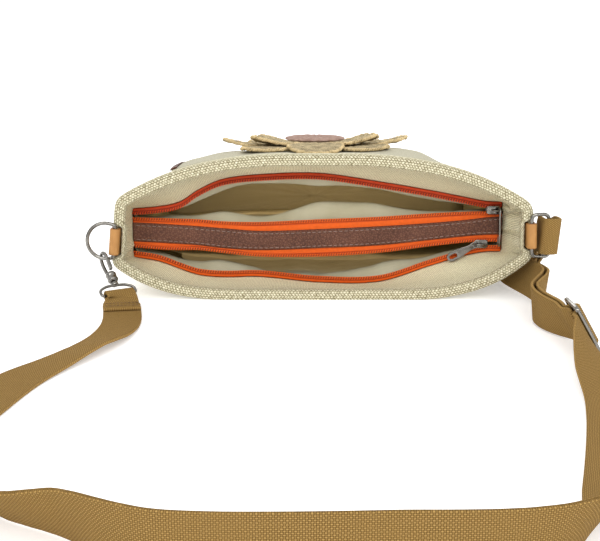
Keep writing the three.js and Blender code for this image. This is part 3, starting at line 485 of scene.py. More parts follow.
def lining_cloth():
    """Plain cotton of the pouches with soft creases."""
    paint = Paint("lining_cotton", Roughness=0.9, Specular_IOR_Level=0.1)
    height, _, both = paint.weave(0.55, 0.55)
    slow = paint.noise(both, 0.035, 3).between(0.3, 0.7)
    color = paint.tones(slow, (0.0, (0.43, 0.395, 0.265)), (1.0, (0.51, 0.48, 0.345)))
    crease = paint.noise(paint.stretched(both, 0.03, 0.12), 1.0, 4)
    return paint.done(color, crease + height * 0.06, 1.2)


def zip_cloth(name, bright, dark):
    """Zip tape: fine ribs across the tape, with shade painted in the groove beside the coil."""
    paint = Paint(name, Roughness=0.6, Specular_IOR_Level=0.2)
    u, v, both = paint.cloth()
    ribs, rows = (way.wave(pitch).op("ABSOLUTE") for way, pitch in ((v, 0.45), (u, 0.6)))
    worn = paint.noise(both, 0.4, 3).between(0.25, 0.75)
    color = paint.tones(worn, (0.0, vec(*bright) * 0.82), (1.0, bright))
    # Blend towards the dark colour by the relief mask: painted shade in the groove beside the coil.
    return paint.done(paint.blend(paint.relief(), color, dark), ribs * 0.6 + rows * 0.4, 0.12)


def coil_nylon(name, bright, dark):
    """Smooth nylon of the zip's spiral, with shade painted where its turns meet the tape."""
    paint = Paint(name, Roughness=0.42, Specular_IOR_Level=0.3)
    worn = paint.noise(paint.space(), 900, 2)
    # The relief mask paints shade on the back of each turn.
    color = paint.tones(paint.relief() + (worn - 0.5) * 0.3, (0.15, dark), (0.75, bright))
    return paint.done(color, worn, 0.05)


def pebbled_leather(name, light, dark, scale, depth):
    """Grained leather: small raised pebbles, their tops painted lighter as a highlight and the creases
    between them darker as painted shade.
    """
    paint = Paint(name, Roughness=0.5, Specular_IOR_Level=0.3)
    place = paint.space()
    warp = paint.add("ShaderNodeTexNoise", "Color", Vector=place, Scale=scale * 0.5)
    bend = paint.node("ShaderNodeVectorMath", operation="MULTIPLY_ADD")
    for socket, value in zip(bend.inputs, (warp, (0.6 / scale,) * 3, place)):
        paint.put(socket, value)
    bent = Value(paint, bend.outputs[0])
    crack = paint.cells(bent, scale, "DISTANCE_TO_EDGE").between(0.0, 0.16)
    fine = paint.noise(place, scale * 5, 3)
    slow = paint.noise(place, 30, 3).between(0.3, 0.7)
    top = crack * paint.cells(bent, scale).inverse()
    # Colour from each pebble's dome: painted highlight on the tops, painted shade in the creases.
    color = paint.tones(top * 0.75 + slow * 0.25, (0.1, dark), (0.85, light))
    return paint.done(color, top + fine * 0.2, depth, top * -0.22 + fine * 0.16 + 0.56)


def smooth_leather(name, light, dark):
    """Smooth tan leather: fine pores and a darker, burnished edge where its relief says so."""
    paint = Paint(name, Specular_IOR_Level=0.3, Coat_Weight=0.08, Coat_Roughness=0.35)
    place = paint.space()
    pores = paint.noise(place, 2600, 3)
    cloud = paint.noise(place, 160, 4).between(0.3, 0.7)
    color = paint.tones(cloud, (0.0, mix(vec(*dark), vec(*light), 0.7)), (1.0, light))
    return paint.done(paint.blend(paint.relief(), color, dark), pores, 0.08, pores * 0.3 + 0.33)


def webbing_cloth():
    """Cotton webbing: staggered knots of thick yarn, darker between them."""
    paint = Paint("webbing", Roughness=0.92, Specular_IOR_Level=0.06)
    height, over, both = paint.weave(0.75, 0.9, wander=0.5, slow=0.3)
    yarn = height * over.op("MULTIPLY_ADD", 0.45, 0.55)
    fibre = paint.noise(paint.stretched(both, 2.5, 1.2), 1.0, 4)
    slow = paint.noise(both, 0.03, 3).between(0.3, 0.7)
    color = paint.tones(yarn + (fibre - 0.5) * 0.4, (0.1, (0.095, 0.054, 0.016)),
                        (0.5, (0.262, 0.155, 0.047)), (0.95, (0.46, 0.288, 0.098)))
    color = paint.blend(slow * 0.3, color, (0.285, 0.171, 0.054))
    return paint.done(color, yarn + fibre * 0.2, 0.45)


def nickel_plate():
    """Polished nickel with faint wear and fine scratches."""
    paint = Paint("nickel", Metallic=1.0)
    place = paint.space()
    cloud = paint.noise(place, 140, 3)
    scratch = paint.noise(paint.stretched(place, 400, 3000, 900), 1.0, 2)
    color = paint.tones(cloud, (0.3, (0.165, 0.155, 0.138)), (0.7, (0.27, 0.258, 0.235)))
    return paint.done(color, scratch, 0.02, cloud * 0.22 + 0.1)


def burlap_cloth():
    """Rough burlap of the petals: uneven fibres over a coarse weave, some of them golden."""
    paint = Paint("burlap", Roughness=0.97, Specular_IOR_Level=0.05)
    height, _, both = paint.weave(1.1, 1.1, wander=4.0, slow=0.25, detail=3)
    fibre = paint.noise(paint.stretched(both, 0.5, 1.4), 1.0, 5, 0.75)
    patchy = paint.noise(both, 0.12, 3)
    value = height * 0.2 + fibre.between(0.32, 0.68) * 0.55 + patchy.between(0.35, 0.65) * 0.25
    color = paint.tones(value, (0.22, (0.10, 0.075, 0.04)), (0.5, (0.44, 0.355, 0.215)),
                        (0.85, (0.84, 0.68, 0.40)))
    return paint.done(color, height * 0.5 + fibre, 0.9)


def rope_yarn():
    """Hairy yarn of the cord round each petal."""
    paint = Paint("petal_rope", Roughness=0.95, Specular_IOR_Level=0.05)
    place = paint.space()
    fibre = paint.noise(place, 1500, 4, 0.7)
    patchy = paint.noise(place, 160, 2)
    # The relief mask darkens each strand's inner side: painted shade between the strands.
    value = paint.relief() * 0.3 + fibre.between(0.3, 0.7) * 0.45 + patchy.between(0.35, 0.65) * 0.25
    color = paint.tones(value, (0.15, (0.14, 0.10, 0.045)), (0.5, (0.50, 0.385, 0.21)),
                        (0.9, (0.86, 0.68, 0.38)))
    return paint.done(color, fibre, 0.4)


def mauve_cloth():
    """Soft mauve cloth of the flower's middle."""
    paint = Paint("mauve_cloth", Roughness=0.9, Specular_IOR_Level=0.1)
    height, _, _ = paint.weave(0.6, 0.6)
    cloud = paint.noise(paint.space(), 260, 3).between(0.3, 0.7)
    color = paint.tones(cloud * 0.6 + height * 0.4, (0.1, (0.25, 0.155, 0.125)), (0.9, (0.47, 0.33, 0.27)))
    return paint.done(color, height, 0.15)


def thread(name, light, dark):
    paint = Paint(name, Roughness=0.7, Sheen_Weight=0.2)
    twist = paint.noise(paint.space(), 1800, 2)
    return paint.done(paint.tones(twist, (0.3, dark), (0.7, light)), twist, 0.08)


JUTE = woven("jute_weave", (0.62, 0.55, 0.37), (0.30, 0.245, 0.13), 1.2, 0.3)
FACING = facing_cloth_paint()
PATCH = woven("patch_cotton", (0.575, 0.548, 0.435), (0.36, 0.335, 0.235), 0.8, 0.15, slub=0.35)
HEM = hem_yarn()
LINING = lining_cloth()
# Each zip material's second colour is shade painted in the groove beside the coil or where the coil meets the
# tape.
TAPE = zip_cloth("zip_orange", (0.80, 0.118, 0.010), (0.22, 0.014, 0.004))
COIL = coil_nylon("zip_coil", (0.80, 0.135, 0.014), (0.16, 0.011, 0.004))
# The two below are darker red copies of the orange tape and coil. They are painted shade for the front outer
# tape, which lies in the facing's shadow.
TAPE_SHADED = zip_cloth("zip_orange_shaded", (0.60, 0.06, 0.015), (0.16, 0.012, 0.005))
COIL_SHADED = coil_nylon("zip_coil_shaded", (0.66, 0.075, 0.016), (0.12, 0.01, 0.004))
BROWN = pebbled_leather("brown_leather", (0.20, 0.082, 0.049), (0.068, 0.025, 0.014), 620, 0.35)
TAN = smooth_leather("tan_leather", (0.465, 0.232, 0.07), (0.26, 0.105, 0.028))
WEBBING = webbing_cloth()
NICKEL = nickel_plate()
BURLAP = burlap_cloth()
ROPE = rope_yarn()
MAUVE = mauve_cloth()
PALE_THREAD = thread("pale_thread", (0.46, 0.33, 0.28), (0.25, 0.15, 0.12))
STRAP_THREAD = thread("strap_thread", (0.24, 0.13, 0.035), (0.12, 0.06, 0.015))


# Body of the bag: sections from rim to base, as in the part's source
BODY = table("y left right crown sole left_top left_low right_top right_low",
             (-120, 150.5, 154.5, 105, 0, 73, 26, 69, 31),
             (-100, 150.5, 154.5, 102.5, 0, 73, 25.5, 69.5, 31),
             (-60, 150.5, 153.5, 99.5, 0, 71.5, 23, 69, 29),
             (-15, 150, 151.5, 96.5, 0, 68.5, 19, 66.5, 23),
             (35, 149, 149.5, 91, 0, 63.5, 14.5, 62.5, 16),
             (80, 147.5, 147.5, 82, 0, 58, 11, 57.5, 11.5),
             (108, 145.5, 145.5, 73, 0, 53, 9, 53, 9),
             (117, 142, 142, 67, 2, 49, 8, 49, 8),
             (120, 136, 136, 60, 7, 44, 8, 44, 8))
RIM_Y, BASE_Y = -120.0, 120.0
LEFT_LEAN, RIGHT_LEAN = 4.5, 1.5
CROWN_POWER, SOLE_FLAT, SOLE_POWER = 2.9, 0.3, 3.1
PANEL_SHARES = np.sin(np.pi / 2 * np.linspace(-1, 1, 81))
END_SHARES = np.linspace(0, 1, 17)[1:-1, None]
CLOTH_ROUND = 744.0
SHELL_WALL = 2.2


def body_at(y):
    return {column: read(BODY["y"], BODY[column], y) for column in BODY}


def front_height(row, share):
    end = np.where(share < 0, row["left_top"], row["right_top"])
    return end + (row["crown"] - end) * (1 - np.abs(share) ** CROWN_POWER)


def back_height(row, share):
    rise = np.maximum(0, (np.abs(share) - SOLE_FLAT) / (1 - SOLE_FLAT)) ** SOLE_POWER
    return row["sole"] + np.where(share < 0, row["left_low"], row["right_low"]) * rise


def front_panel(x, y):
    row = body_at(y)
    return front_height(row, x / np.where(x < 0, row["left"] - LEFT_LEAN, row["right"] - RIGHT_LEAN))


def back_panel(x, y):
    row = body_at(y)
    return back_height(row, x / np.where(x < 0, row["left"], row["right"]))


def panel_ring(y, low, high):
    """Ring round two panels and two straight ends: back panel, left end, front panel, right end."""
    low, high = low(-PANEL_SHARES), high(PANEL_SHARES)
    flat = np.vstack([low, mix(low[-1], high[0], END_SHARES), high, mix(high[-1], low[0], END_SHARES)])
    return np.stack([flat[:, 0], np.full(len(flat), y), flat[:, 1]], 1)


def body_ring(y):
    row = body_at(y)
    left, right = row["left"], row["right"]

    def low(share):
        return np.stack([share * np.where(share < 0, left, right), back_height(row, share)], 1)

    def high(share):
        half = np.where(share < 0, left - LEFT_LEAN, right - RIGHT_LEAN)
        return np.stack([share * half, front_height(row, share)], 1)

    return panel_ring(y, low, high)


def even_places(ring, count):
    """Index places that divide a closed ring into equal lengths."""
    run = lengths(np.vstack([ring, ring[:1]]))
    return np.interp(np.arange(count) / count * run[-1], run, np.arange(len(ring) + 1))


def at_places(ring, places):
    return between_rows(places, np.arange(len(ring) + 1), np.vstack([ring, ring[:1]]))


def eased(ring, reach):
    """Closed ring with its corners rounded over a reach of points."""
    shifts = np.arange(-3 * reach, 3 * reach + 1)
    weights = np.exp(-0.5 * (shifts / reach) ** 2)
    return sum(w * np.roll(ring, s, axis=0) for w, s in zip(weights / weights.sum(), shifts))


def outward(rings):
    """Directions square to rings in their own upright planes, away from their inside."""
    ahead = unit(np.roll(rings, -1, -2) - np.roll(rings, 1, -2))
    return np.stack([-ahead[..., 2], np.zeros(ahead.shape[:-1]), ahead[..., 0]], -1)


def closed_end(rings, steps):
    """Rings that close the last of some rings: share of its size and bulge towards the base."""
    middle = rings[-1].mean(0)
    return np.array([middle + (rings[-1] - middle) * share + vec(0, bulge, 0) for share, bulge in steps])


# Outer jute body: panels that sag a little between the seams, closed by a soft base
# Sags and folds are ripples, each a wavelength and a height.
AROUND, BODY_EASE = 372, 2
BODY_SAG, BODY_INSET, FLOOR_CLEAR = ((110, 1.0), (34, 0.35)), 0.6, 0.15
SAG_FROM, SAG_FULL, SAG_FADE, SAG_TO = RIM_Y, -80, 96, 118
BASE_STEPS = ((0.97, 0.9), (0.9, 1.6), (0.75, 2.0), (0.5, 2.1), (0.25, 2.1), (0.08, 2.1))
BASE_RUN = vec(4, 12, 26, 50, 76, 96)
body_places = even_places(body_ring(RIM_Y), AROUND)
body_rows = np.concatenate([np.linspace(RIM_Y + 0.5, 104, 58), [108, 112, 115, 117.3, 119, BASE_Y]])
body_grid = np.array([eased(at_places(body_ring(y), body_places), BODY_EASE) for y in body_rows])
around_mm = np.arange(AROUND) / AROUND * CLOTH_ROUND
sag = ripples(around_mm, body_rows[:, None], *BODY_SAG)
sag *= (ease(SAG_FROM, SAG_FULL, body_rows) * (1 - ease(SAG_FADE, SAG_TO, body_rows)))[:, None]
body_grid += outward(body_grid) * (sag - BODY_INSET)[..., None]
body_grid[..., 2] = np.maximum(body_grid[..., 2], FLOOR_CLEAR)
body_grid = np.concatenate([body_grid, closed_end(body_grid, BASE_STEPS)])
body_shape = Shape(body_grid, grid_faces(len(body_grid), AROUND, around=True, last=True),
                   uv_grid(around_mm, np.concatenate([body_rows, BASE_Y + BASE_RUN])))
piece("jute_body", body_shape, JUTE, ["shell"], period=CLOTH_ROUND, wall=SHELL_WALL)

# Tabs and rings stand on the end walls of the rim: place of each ring's bar and its lean
RING_Y = -124.0
LEFT_RING = dict(high=28.4, reach=19.5, tab=19.5, place=vec(-147.715, RING_Y, 43.6),
                 lean=math.atan2(LEFT_LEAN, 47))
RIGHT_RING = dict(high=33.4, reach=12.2, tab=18.5, place=vec(152.737, RING_Y, 47.8),
                  lean=-math.atan2(RIGHT_LEAN, 38))
END_WALL_X = 130


def at_tab(ring):
    """1 where a point of the rim lies under one of the leather tabs, 0 away from them."""
    share = np.zeros(len(ring))
    for spot, way in ((LEFT_RING, -1), (RIGHT_RING, 1)):
        off = np.abs(ring[:, 2] - spot["place"][2]) - spot["tab"] / 2
        share = np.maximum(share, (ring[:, 0] * way > END_WALL_X) * (1 - ease(0.3, 2.6, off)))
    return share


# Hem band folded over the rim, of coarse yarn in slanted floats that make rows of chevrons.
# Its path in section: distance outwards of the body's face, and Y.
HEM_COLUMNS, HEM_ROWS, HEM_EASE = 1116, 66, 6
HEM_PITCH, HEM_ROW, HEM_HIGH, HEM_BACK = 2.35, 1.7, 0.5, 1.1
HEM_PATH = [(0.35, -105.5), (0.6, -108), (0.8, -112), (0.8, -117), (0.5, -119.4), (-0.5, -121.0),
            (-2.0, -121.6), (-4.4, -121.6), (-6.2, -121.1), (-6.9, -120.0), (-7.0, -118), (-6.7, -114)]
HEM_INNER, HEM_TAB_SHARE, HEM_TAB_SHIFT = -6.9, 0.33, -1.4
HEM_BACK_ROWS = [65, 55, 45, 36, 26, 13, 0]
HEM_FRONT_ROW = 40
HEM_WAVER, HEM_DRIFT, HEM_WOBBLE, HEM_VARY = (60, 0.35), (45, 0.25), (9, 0.22), (4, 0.2)
FLOAT_SLANT, FLOAT_ROUND, FLOAT_TAPER, HEM_FLOOR = 0.45, 0.9, 0.6, 0.05


def rim_band():
    """Closed band: floats of yarn on its outer side, a plain inner side."""
    line = smoothed(np.column_stack([HEM_PATH, np.zeros(len(HEM_PATH))]), np.linspace(0, 1, 300))
    run = lengths(line)
    v = np.linspace(0, run[-1], HEM_ROWS)
    line = between_rows(v, run, line[:, :2])
    u = np.arange(HEM_COLUMNS) / HEM_COLUMNS * CLOTH_ROUND
    rim = eased(at_places(body_ring(RIM_Y), even_places(body_ring(RIM_Y), HEM_COLUMNS)), HEM_EASE)
    tab = at_tab(rim)
    off = HEM_INNER + (line[:, :1] - HEM_INNER) * (1 - tab * (1 - HEM_TAB_SHARE)) + tab * HEM_TAB_SHIFT
    band = rim + outward(rim) * (off + ripples(u, 0, HEM_WAVER))[..., None]
    band[..., 1] = line[:, 1:] + ripples(u, v[:, None], HEM_DRIFT)
    normal = unit(np.cross(np.gradient(band, axis=1), np.gradient(band, axis=0)))
    normal *= -np.sign(normal[HEM_FRONT_ROW, :, 1].mean())
    number, part = np.divmod(v / HEM_ROW, 1)
    slant = np.where(number % 2 == 0, 1, -1)
    wobble = ripples(u, v[:, None], HEM_WOBBLE)
    phase = u / HEM_PITCH + (0.5 * (slant > 0) + slant * (part - 0.5) * FLOAT_SLANT)[:, None] + wobble
    high = np.abs(np.cos(np.pi * phase)) ** FLOAT_ROUND * (np.sin(np.pi * part) ** FLOAT_TAPER)[:, None]
    high *= 1 - HEM_VARY[1] + ripples(u, v[:, None], HEM_VARY)
    back = (band - normal * HEM_BACK)[HEM_BACK_ROWS]
    rings = np.concatenate([band + normal * (high * HEM_HIGH)[..., None], back])
    rings[..., 2] = np.maximum(rings[..., 2], HEM_FLOOR)
    uv = uv_grid(u, np.concatenate([v, v[HEM_BACK_ROWS]]))
    relief = np.concatenate([high, np.zeros(back.shape[:2])])
    return Shape(rings, grid_faces(len(rings), HEM_COLUMNS, around=True, along=True), uv, relief)


piece("rim_hem", rim_band(), HEM, period=CLOTH_ROUND)

# Zip panel, set back from the rim: heights of both zips' edges and of the leather strip along X
ZIP_Y = -88.0
ZIP = table("x front_out front_in strip_top strip_low back_in back_out",
            (-139, 60, 56.5, 52.5, 38, 33.2, 28.8),
            (-120, 61.5, 56, 51.5, 37, 31.5, 25.5),
            (-104, 65, 55.5, 50.5, 36, 31, 19.5),
            (-90, 74, 55, 49.5, 35, 31, 15),
            (-72, 82, 53.5, 48, 32.8, 28.8, 13.5),
            (-44, 85.5, 53, 46, 31.3, 26, 13.8),
            (0, 86.5, 55, 47.3, 32.8, 26, 9.5),
            (46, 80, 57, 49.5, 35, 29, 10),
            (84, 73.5, 59.5, 52, 39, 34, 22),
            (112, 68, 60.8, 54.5, 42, 37, 30.5),
            (126, 65.4, 61, 56.3, 43, 37.5, 33),
            (136, 65.2, 61, 57, 43.2, 37.5, 33.2))
ZIP_LEFT, ZIP_RIGHT = -139.8, 138.0
TAPE_LEFT, TAPE_RIGHT = -139.5, 137.4
TAPE_WALL, TAPE_ROOT, TAPE_FREE, TAPE_TUCK, TAPE_STAGGER = 1.0, 2.8, 2.2, 2.5, 0.2


def zip_at(column, x):
    return read(ZIP["x"], ZIP[column], x)


# Facing between hem and zips, pleated where it is pinched at its ends.
# Each pleat has its end, its height at the rim and at the zips, and its depth.
FACING_ROWS, FACING_WALL, FACING_DEEP, FACING_GAP = 30, 1.2, 36, 0.4
FACING_INSET, FACING_TAB_INSET, FACING_START, FACING_REACH = 6.1, 1.6, 1.6, 34
FACING_SLACK, FACING_SAG, TAB_SPREAD = ((46, 0.8), (15, 0.25)), 1.3, (-3, -1, 1, 3)
PLEATS = ((1, 49.5, 45.5, 3.0), (1, 66, 61, 4.0), (-1, 31, 34, 2.6))
PLEAT_X = 122


def mouth_edge(column, off):
    """One long edge of the zip panel, raised or lowered by off."""
    def edge(share):
        x = mix(ZIP_LEFT, ZIP_RIGHT, (share + 1) / 2)
        return np.stack([x, zip_at(column, x) + off], 1)
    return edge


mouth = panel_ring(ZIP_Y, mouth_edge("back_out", -TAPE_ROOT - FACING_GAP),
                   mouth_edge("front_out", TAPE_ROOT + FACING_GAP))
facing_rim = eased(at_places(body_ring(RIM_Y), body_places), 1)
tab_share = at_tab(facing_rim)
facing_start = facing_rim - outward(facing_rim) * (FACING_INSET + FACING_TAB_INSET * tab_share)[:, None]
facing_start[:, 1] = RIM_Y + FACING_START
facing_end = eased(at_places(mouth, body_places), 1)
depth = np.linspace(0, 1, FACING_ROWS)[:, None]
arch = np.sin(np.pi * depth)
facing = mix(facing_start, facing_end, depth[..., None])
beside_tab = np.max([np.roll(tab_share, k) for k in TAB_SPREAD], 0)
fold = (ripples(around_mm, depth * FACING_REACH, *FACING_SLACK) - FACING_SAG * (1 - beside_tab)) * arch
for way, at_rim, at_zip, deep in PLEATS:
    from_line = facing[..., 2] - mix(at_rim, at_zip, depth)
    pinch = hump(from_line, 2.4, 1.9) - hump(from_line, -1.4, 1.6)
    fold += (facing[..., 0] * way > PLEAT_X) * deep * pinch * arch ** 0.6
facing = facing - outward(facing) * fold[..., None]
facing_faces = [face[::-1] for face in grid_faces(FACING_ROWS, AROUND, around=True)]
facing_shape = Shape(facing, facing_faces, uv_grid(around_mm, depth * FACING_DEEP))
piece("facing_cloth", facing_shape, FACING, ["facing"], period=CLOTH_ROUND, wall=FACING_WALL)

# Zip tapes and their nylon coils: for each tape its root and free edge with their offsets, and its rear face
TAPE_COLUMNS, TAPE_ACROSS = 280, 9
COIL_PITCH, COIL_WIRE, COIL_SIDES, COIL_TURN = 1.9, 0.42, 6, 10
COIL_INSET, COIL_OUT, COIL_DEEP, COIL_HALF, CORE_OUT, CORE_RADIUS = 1.25, 0.75, 0.5, 0.85, 0.7, 0.5
# Groove between tape and coil: inset from the free edge, half width, and strength of the shade painted along
# it.
GROOVE_INSET, GROOVE_HALF, GROOVE_SHADE = 2.7, 0.5, 0.85
TAPE_EDGE, TAPE_ARCH, TAPE_FORWARD = 0.5, 0.35, 0.25
OUTER_BACK = ZIP_Y + TAPE_WALL
INNER_BACK = OUTER_BACK + TAPE_STAGGER
TAPES = {
    "front_outer": ("front_out", TAPE_ROOT, "front_out", -TAPE_FREE, OUTER_BACK),
    "front_inner": ("strip_top", -TAPE_TUCK, "front_in", 0, INNER_BACK),
    "back_inner": ("strip_low", TAPE_TUCK, "back_in", 0, INNER_BACK),
    "back_outer": ("back_out", -TAPE_ROOT, "back_out", TAPE_FREE, OUTER_BACK),
}
tape_x = np.linspace(TAPE_LEFT, TAPE_RIGHT, TAPE_COLUMNS)


def bar(x, z, front, back):
    """Rings and faces of a flat bar along X: its front face and its rear face at the same heights."""
    face, rear = (np.stack(np.broadcast_arrays(x[:, None], y, z), -1) for y in (front, back))
    rings = np.concatenate([face, rear[:, ::-1]], 1)
    return rings, grid_faces(*rings.shape[:2], around=True, first=True, last=True)


def zip_tape(root, free, back):
    """Woven tape between two heights along X, its free edge a little forward."""
    across = np.linspace(0, 1, TAPE_ACROSS)
    way = np.sign(free - root)
    z = mix(root[:, None], (free - way * TAPE_EDGE)[:, None], across)
    out = TAPE_WALL + TAPE_ARCH * np.sin(np.pi * across) + TAPE_FORWARD * across
    rings, faces = bar(tape_x, z, back - out, back)
    # Painted shade along the groove between tape and coil, kept in the relief mask.
    groove_shade = hump(z, (free - way * GROOVE_INSET)[:, None], GROOVE_HALF) * GROOVE_SHADE
    return Shape(rings, faces, rings[..., [0, 2]], np.concatenate([groove_shade, groove_shade[:, ::-1]], 1))


def zip_coil(root, free, back):
    """Flattened nylon spiral sewn along the free edge, with the cord inside it."""
    line = free - np.sign(free - root) * COIL_INSET
    step = np.arange(int((TAPE_RIGHT - TAPE_LEFT) / COIL_PITCH * COIL_TURN))
    x = TAPE_LEFT + step / COIL_TURN * COIL_PITCH
    angle = math.tau * step / COIL_TURN
    radial = np.stack([0 * x, -COIL_DEEP * np.cos(angle), COIL_HALF * np.sin(angle)], 1)
    middle = np.stack([x, np.full(len(x), back - TAPE_WALL - COIL_OUT), np.interp(x, tape_x, line)], 1)
    spiral = sweep(middle + radial, unit(radial), circle(COIL_WIRE, COIL_SIDES))
    # Mask of the shade painted on the back of each turn, where it meets the tape.
    spiral.relief = np.repeat(0.6 + 0.4 * np.cos(angle), COIL_SIDES)
    core = np.stack([tape_x, np.full(TAPE_COLUMNS, back - TAPE_WALL - CORE_OUT), line], 1)
    return spiral + sweep(core, vec(0, 0, 1), circle(CORE_RADIUS, 6))


for name, (root, root_off, free, free_off, back) in TAPES.items():
    edges = zip_at(root, tape_x) + root_off, zip_at(free, tape_x) + free_off, back
    # The front outer tape takes the darker copies: its shade under the facing is painted into its colour.
    tape, coil = (TAPE_SHADED, COIL_SHADED) if name == "front_outer" else (TAPE, COIL)
    piece(f"tape_{name}", zip_tape(*edges), tape, [f"zip_tape_{name}"])
    piece(f"coil_{name}", zip_coil(*edges), coil)

# Leather strip between the zips, its long edges turned and sewn
STRIP_LEFT, STRIP_RIGHT, STRIP_FRONT, STRIP_BACK = -139.4, 137.4, 2.2, 0.4
STITCH_INSET, STITCH_LONG, STITCH_STEP, STITCH_THICK, STITCH_OUT, STITCH_END = 2.0, 2.7, 4.0, 0.4, 0.05, 3
STRIP_COLUMNS, STRIP_ACROSS, STRIP_WAVE, STRIP_DIP, EDGE_WALL = 260, 19, (40, 0.35), 0.3, 0.1
EDGE_SHARE, SEAM_SHARE, SEAM_REACH, SEAM_DENT = 0.05, 0.135, 0.03, 0.3
strip_x = np.linspace(STRIP_LEFT, STRIP_RIGHT, STRIP_COLUMNS)
strip_across = np.linspace(0, 1, STRIP_ACROSS)
strip_z = mix(zip_at("strip_low", strip_x)[:, None], zip_at("strip_top", strip_x)[:, None], strip_across)
strip_edge = np.minimum(strip_across, 1 - strip_across)
strip_out = STRIP_FRONT * np.minimum(1, (strip_edge / EDGE_SHARE) ** 0.5)
strip_out -= SEAM_DENT * hump(strip_edge, SEAM_SHARE, SEAM_REACH)
strip_wave = np.maximum(ripples(strip_x[:, None], strip_z, STRIP_WAVE), -STRIP_DIP)
strip_wave *= strip_out > STRIP_FRONT * 0.9
strip_front = ZIP_Y - np.maximum(strip_out, STRIP_BACK + EDGE_WALL) - strip_wave
strip_shape = Shape(*bar(strip_x, strip_z, strip_front, ZIP_Y - STRIP_BACK))
piece("leather_strip", strip_shape, BROWN, ["centre_strip"])


def strip_seam(column, way):
    x = np.arange(STRIP_LEFT + STITCH_STEP, STRIP_RIGHT - STITCH_END, STITCH_STEP)
    z = zip_at(column, x) + way * STITCH_INSET
    places = np.stack([x, np.full(len(x), ZIP_Y - STRIP_FRONT - STITCH_OUT), z], 1)
    return stitches(places, unit(np.gradient(places, axis=0)), vec(0, -1, 0), STITCH_LONG, STITCH_THICK)


strip_seams = strip_seam("strip_low", 1) + strip_seam("strip_top", -1)
piece("strip_stitches", strip_seams, PALE_THREAD)

# Lining pouches: how far each section has left the mouth's shape for the body's
LINING_OPEN = curve((-84, 0), (-66, 0.4), (-35, 0.85), (15, 1), (60, 1), (94, 1))
LINING_CLEAR, LINING_END_CLEAR, LINING_WALL, LINING_EASE = 6.0, 9.0, 0.8, 2
DIVIDER_SHARE, DIVIDER_GAP, MOUTH_INSET = 0.46, 1.2, 0.5
LINING_AROUND, LINING_ROUND, LINING_Y, LINING_END = 240, 620, -84, 94
LINING_ROWS = np.concatenate([np.linspace(LINING_Y, -58, 22), np.linspace(-55, 88, 38),
                              [91, 93, 93.8, LINING_END]])
END_STEPS, END_RUN = ((0.9, 0.3), (0.6, 0.3), (0.3, 0.3), (0.05, 0.3)), vec(3, 12, 21, 29)
SLACK_Y, SLACK_REACH, SLACK_LIMIT, LINING_INSET = -74, 9, 0.8, 1.0
HANG_FULL, HANG_FADE, HANG_TO, CREASE_FULL, CREASE_FADE, CREASE_LEFT = -79.5, -80, 70, -70, 0, 0.2
WIDE_CREASE, FINE_CREASE, CREASE_STRETCH = (42, 1.3), (18, 0.35), 0.45
# Slack cloth that stands above the zip's inner edge at the front mouth and its outer edge at the back mouth,
# and hangs below the zip's outer edge at the front mouth
FRONT_LIP = curve((-139, 0), (-104, 0), (-94, 0.6), (-86, 2.4), (-77, 4.8), (-66, 4.2), (-56, 2.0),
                  (-46, -1.2), (-38, -0.4), (-25, 4.2), (-8, 7.6), (10, 8.8), (30, 9.2), (42, 8.6), (54, 4.6),
                  (64, 1.2), (80, 0.4), (136, 0))
FRONT_HANG = curve((-139, 0), (-112, 0.6), (-92, 3.6), (-78, 4.6), (-60, 2.6), (-40, 2.0), (-16, 4.2),
                   (2, 5.4), (16, 3.0), (34, 1.8), (60, 2.4), (84, 3.2), (108, 1.6), (136, 0))
BACK_LIP = curve((-139, 0), (-108, 0.4), (-92, 2.6), (-76, 4.6), (-60, 2.6), (-46, -1.5), (-30, -4), (-2, -4),
                 (14, -1), (30, 2.6), (48, 4.6), (66, 3.6), (86, 1.4), (136, 0))


def lining_ring(y, front):
    """Ring of a pouch at a depth: slack cloth stands up and hangs down just behind the mouth."""
    opened, row = LINING_OPEN(y), body_at(y)
    left = mix(TAPE_LEFT + MOUTH_INSET, LINING_END_CLEAR - row["left"], opened)
    right = mix(TAPE_RIGHT - MOUTH_INSET, row["right"] - LINING_END_CLEAR, opened)
    slack = hump(y, SLACK_Y, SLACK_REACH)
    behind = ease(LINING_Y, HANG_FULL, y) * (1 - ease(HANG_FADE, HANG_TO, y))

    def line(share, upper):
        x = mix(left, right, (share + 1) / 2)
        floor, roof = back_panel(x, y), front_panel(x, y)
        divider = mix(floor, roof, DIVIDER_SHARE)
        strip_top, strip_low = zip_at("strip_top", x), zip_at("strip_low", x)
        if front:
            low = mix(strip_top - MOUTH_INSET, divider + DIVIDER_GAP, opened)
            high = mix(zip_at("front_out", x) + TAPE_FREE, roof - LINING_CLEAR, opened)
            lip = FRONT_LIP(x) + zip_at("front_in", x) - strip_top
            hang = FRONT_HANG(x) + 2 * TAPE_FREE
        else:
            low = mix(zip_at("back_out", x) - TAPE_FREE, floor + LINING_CLEAR, opened)
            high = mix(strip_low + MOUTH_INSET, divider - DIVIDER_GAP, opened)
            lip = BACK_LIP(x) + 2 * TAPE_FREE
            hang = strip_low - zip_at("back_in", x)
        return np.stack([x, high - behind * hang if upper else low + slack * lip], 1)

    return panel_ring(y, lambda share: line(share, False), lambda share: line(share, True))


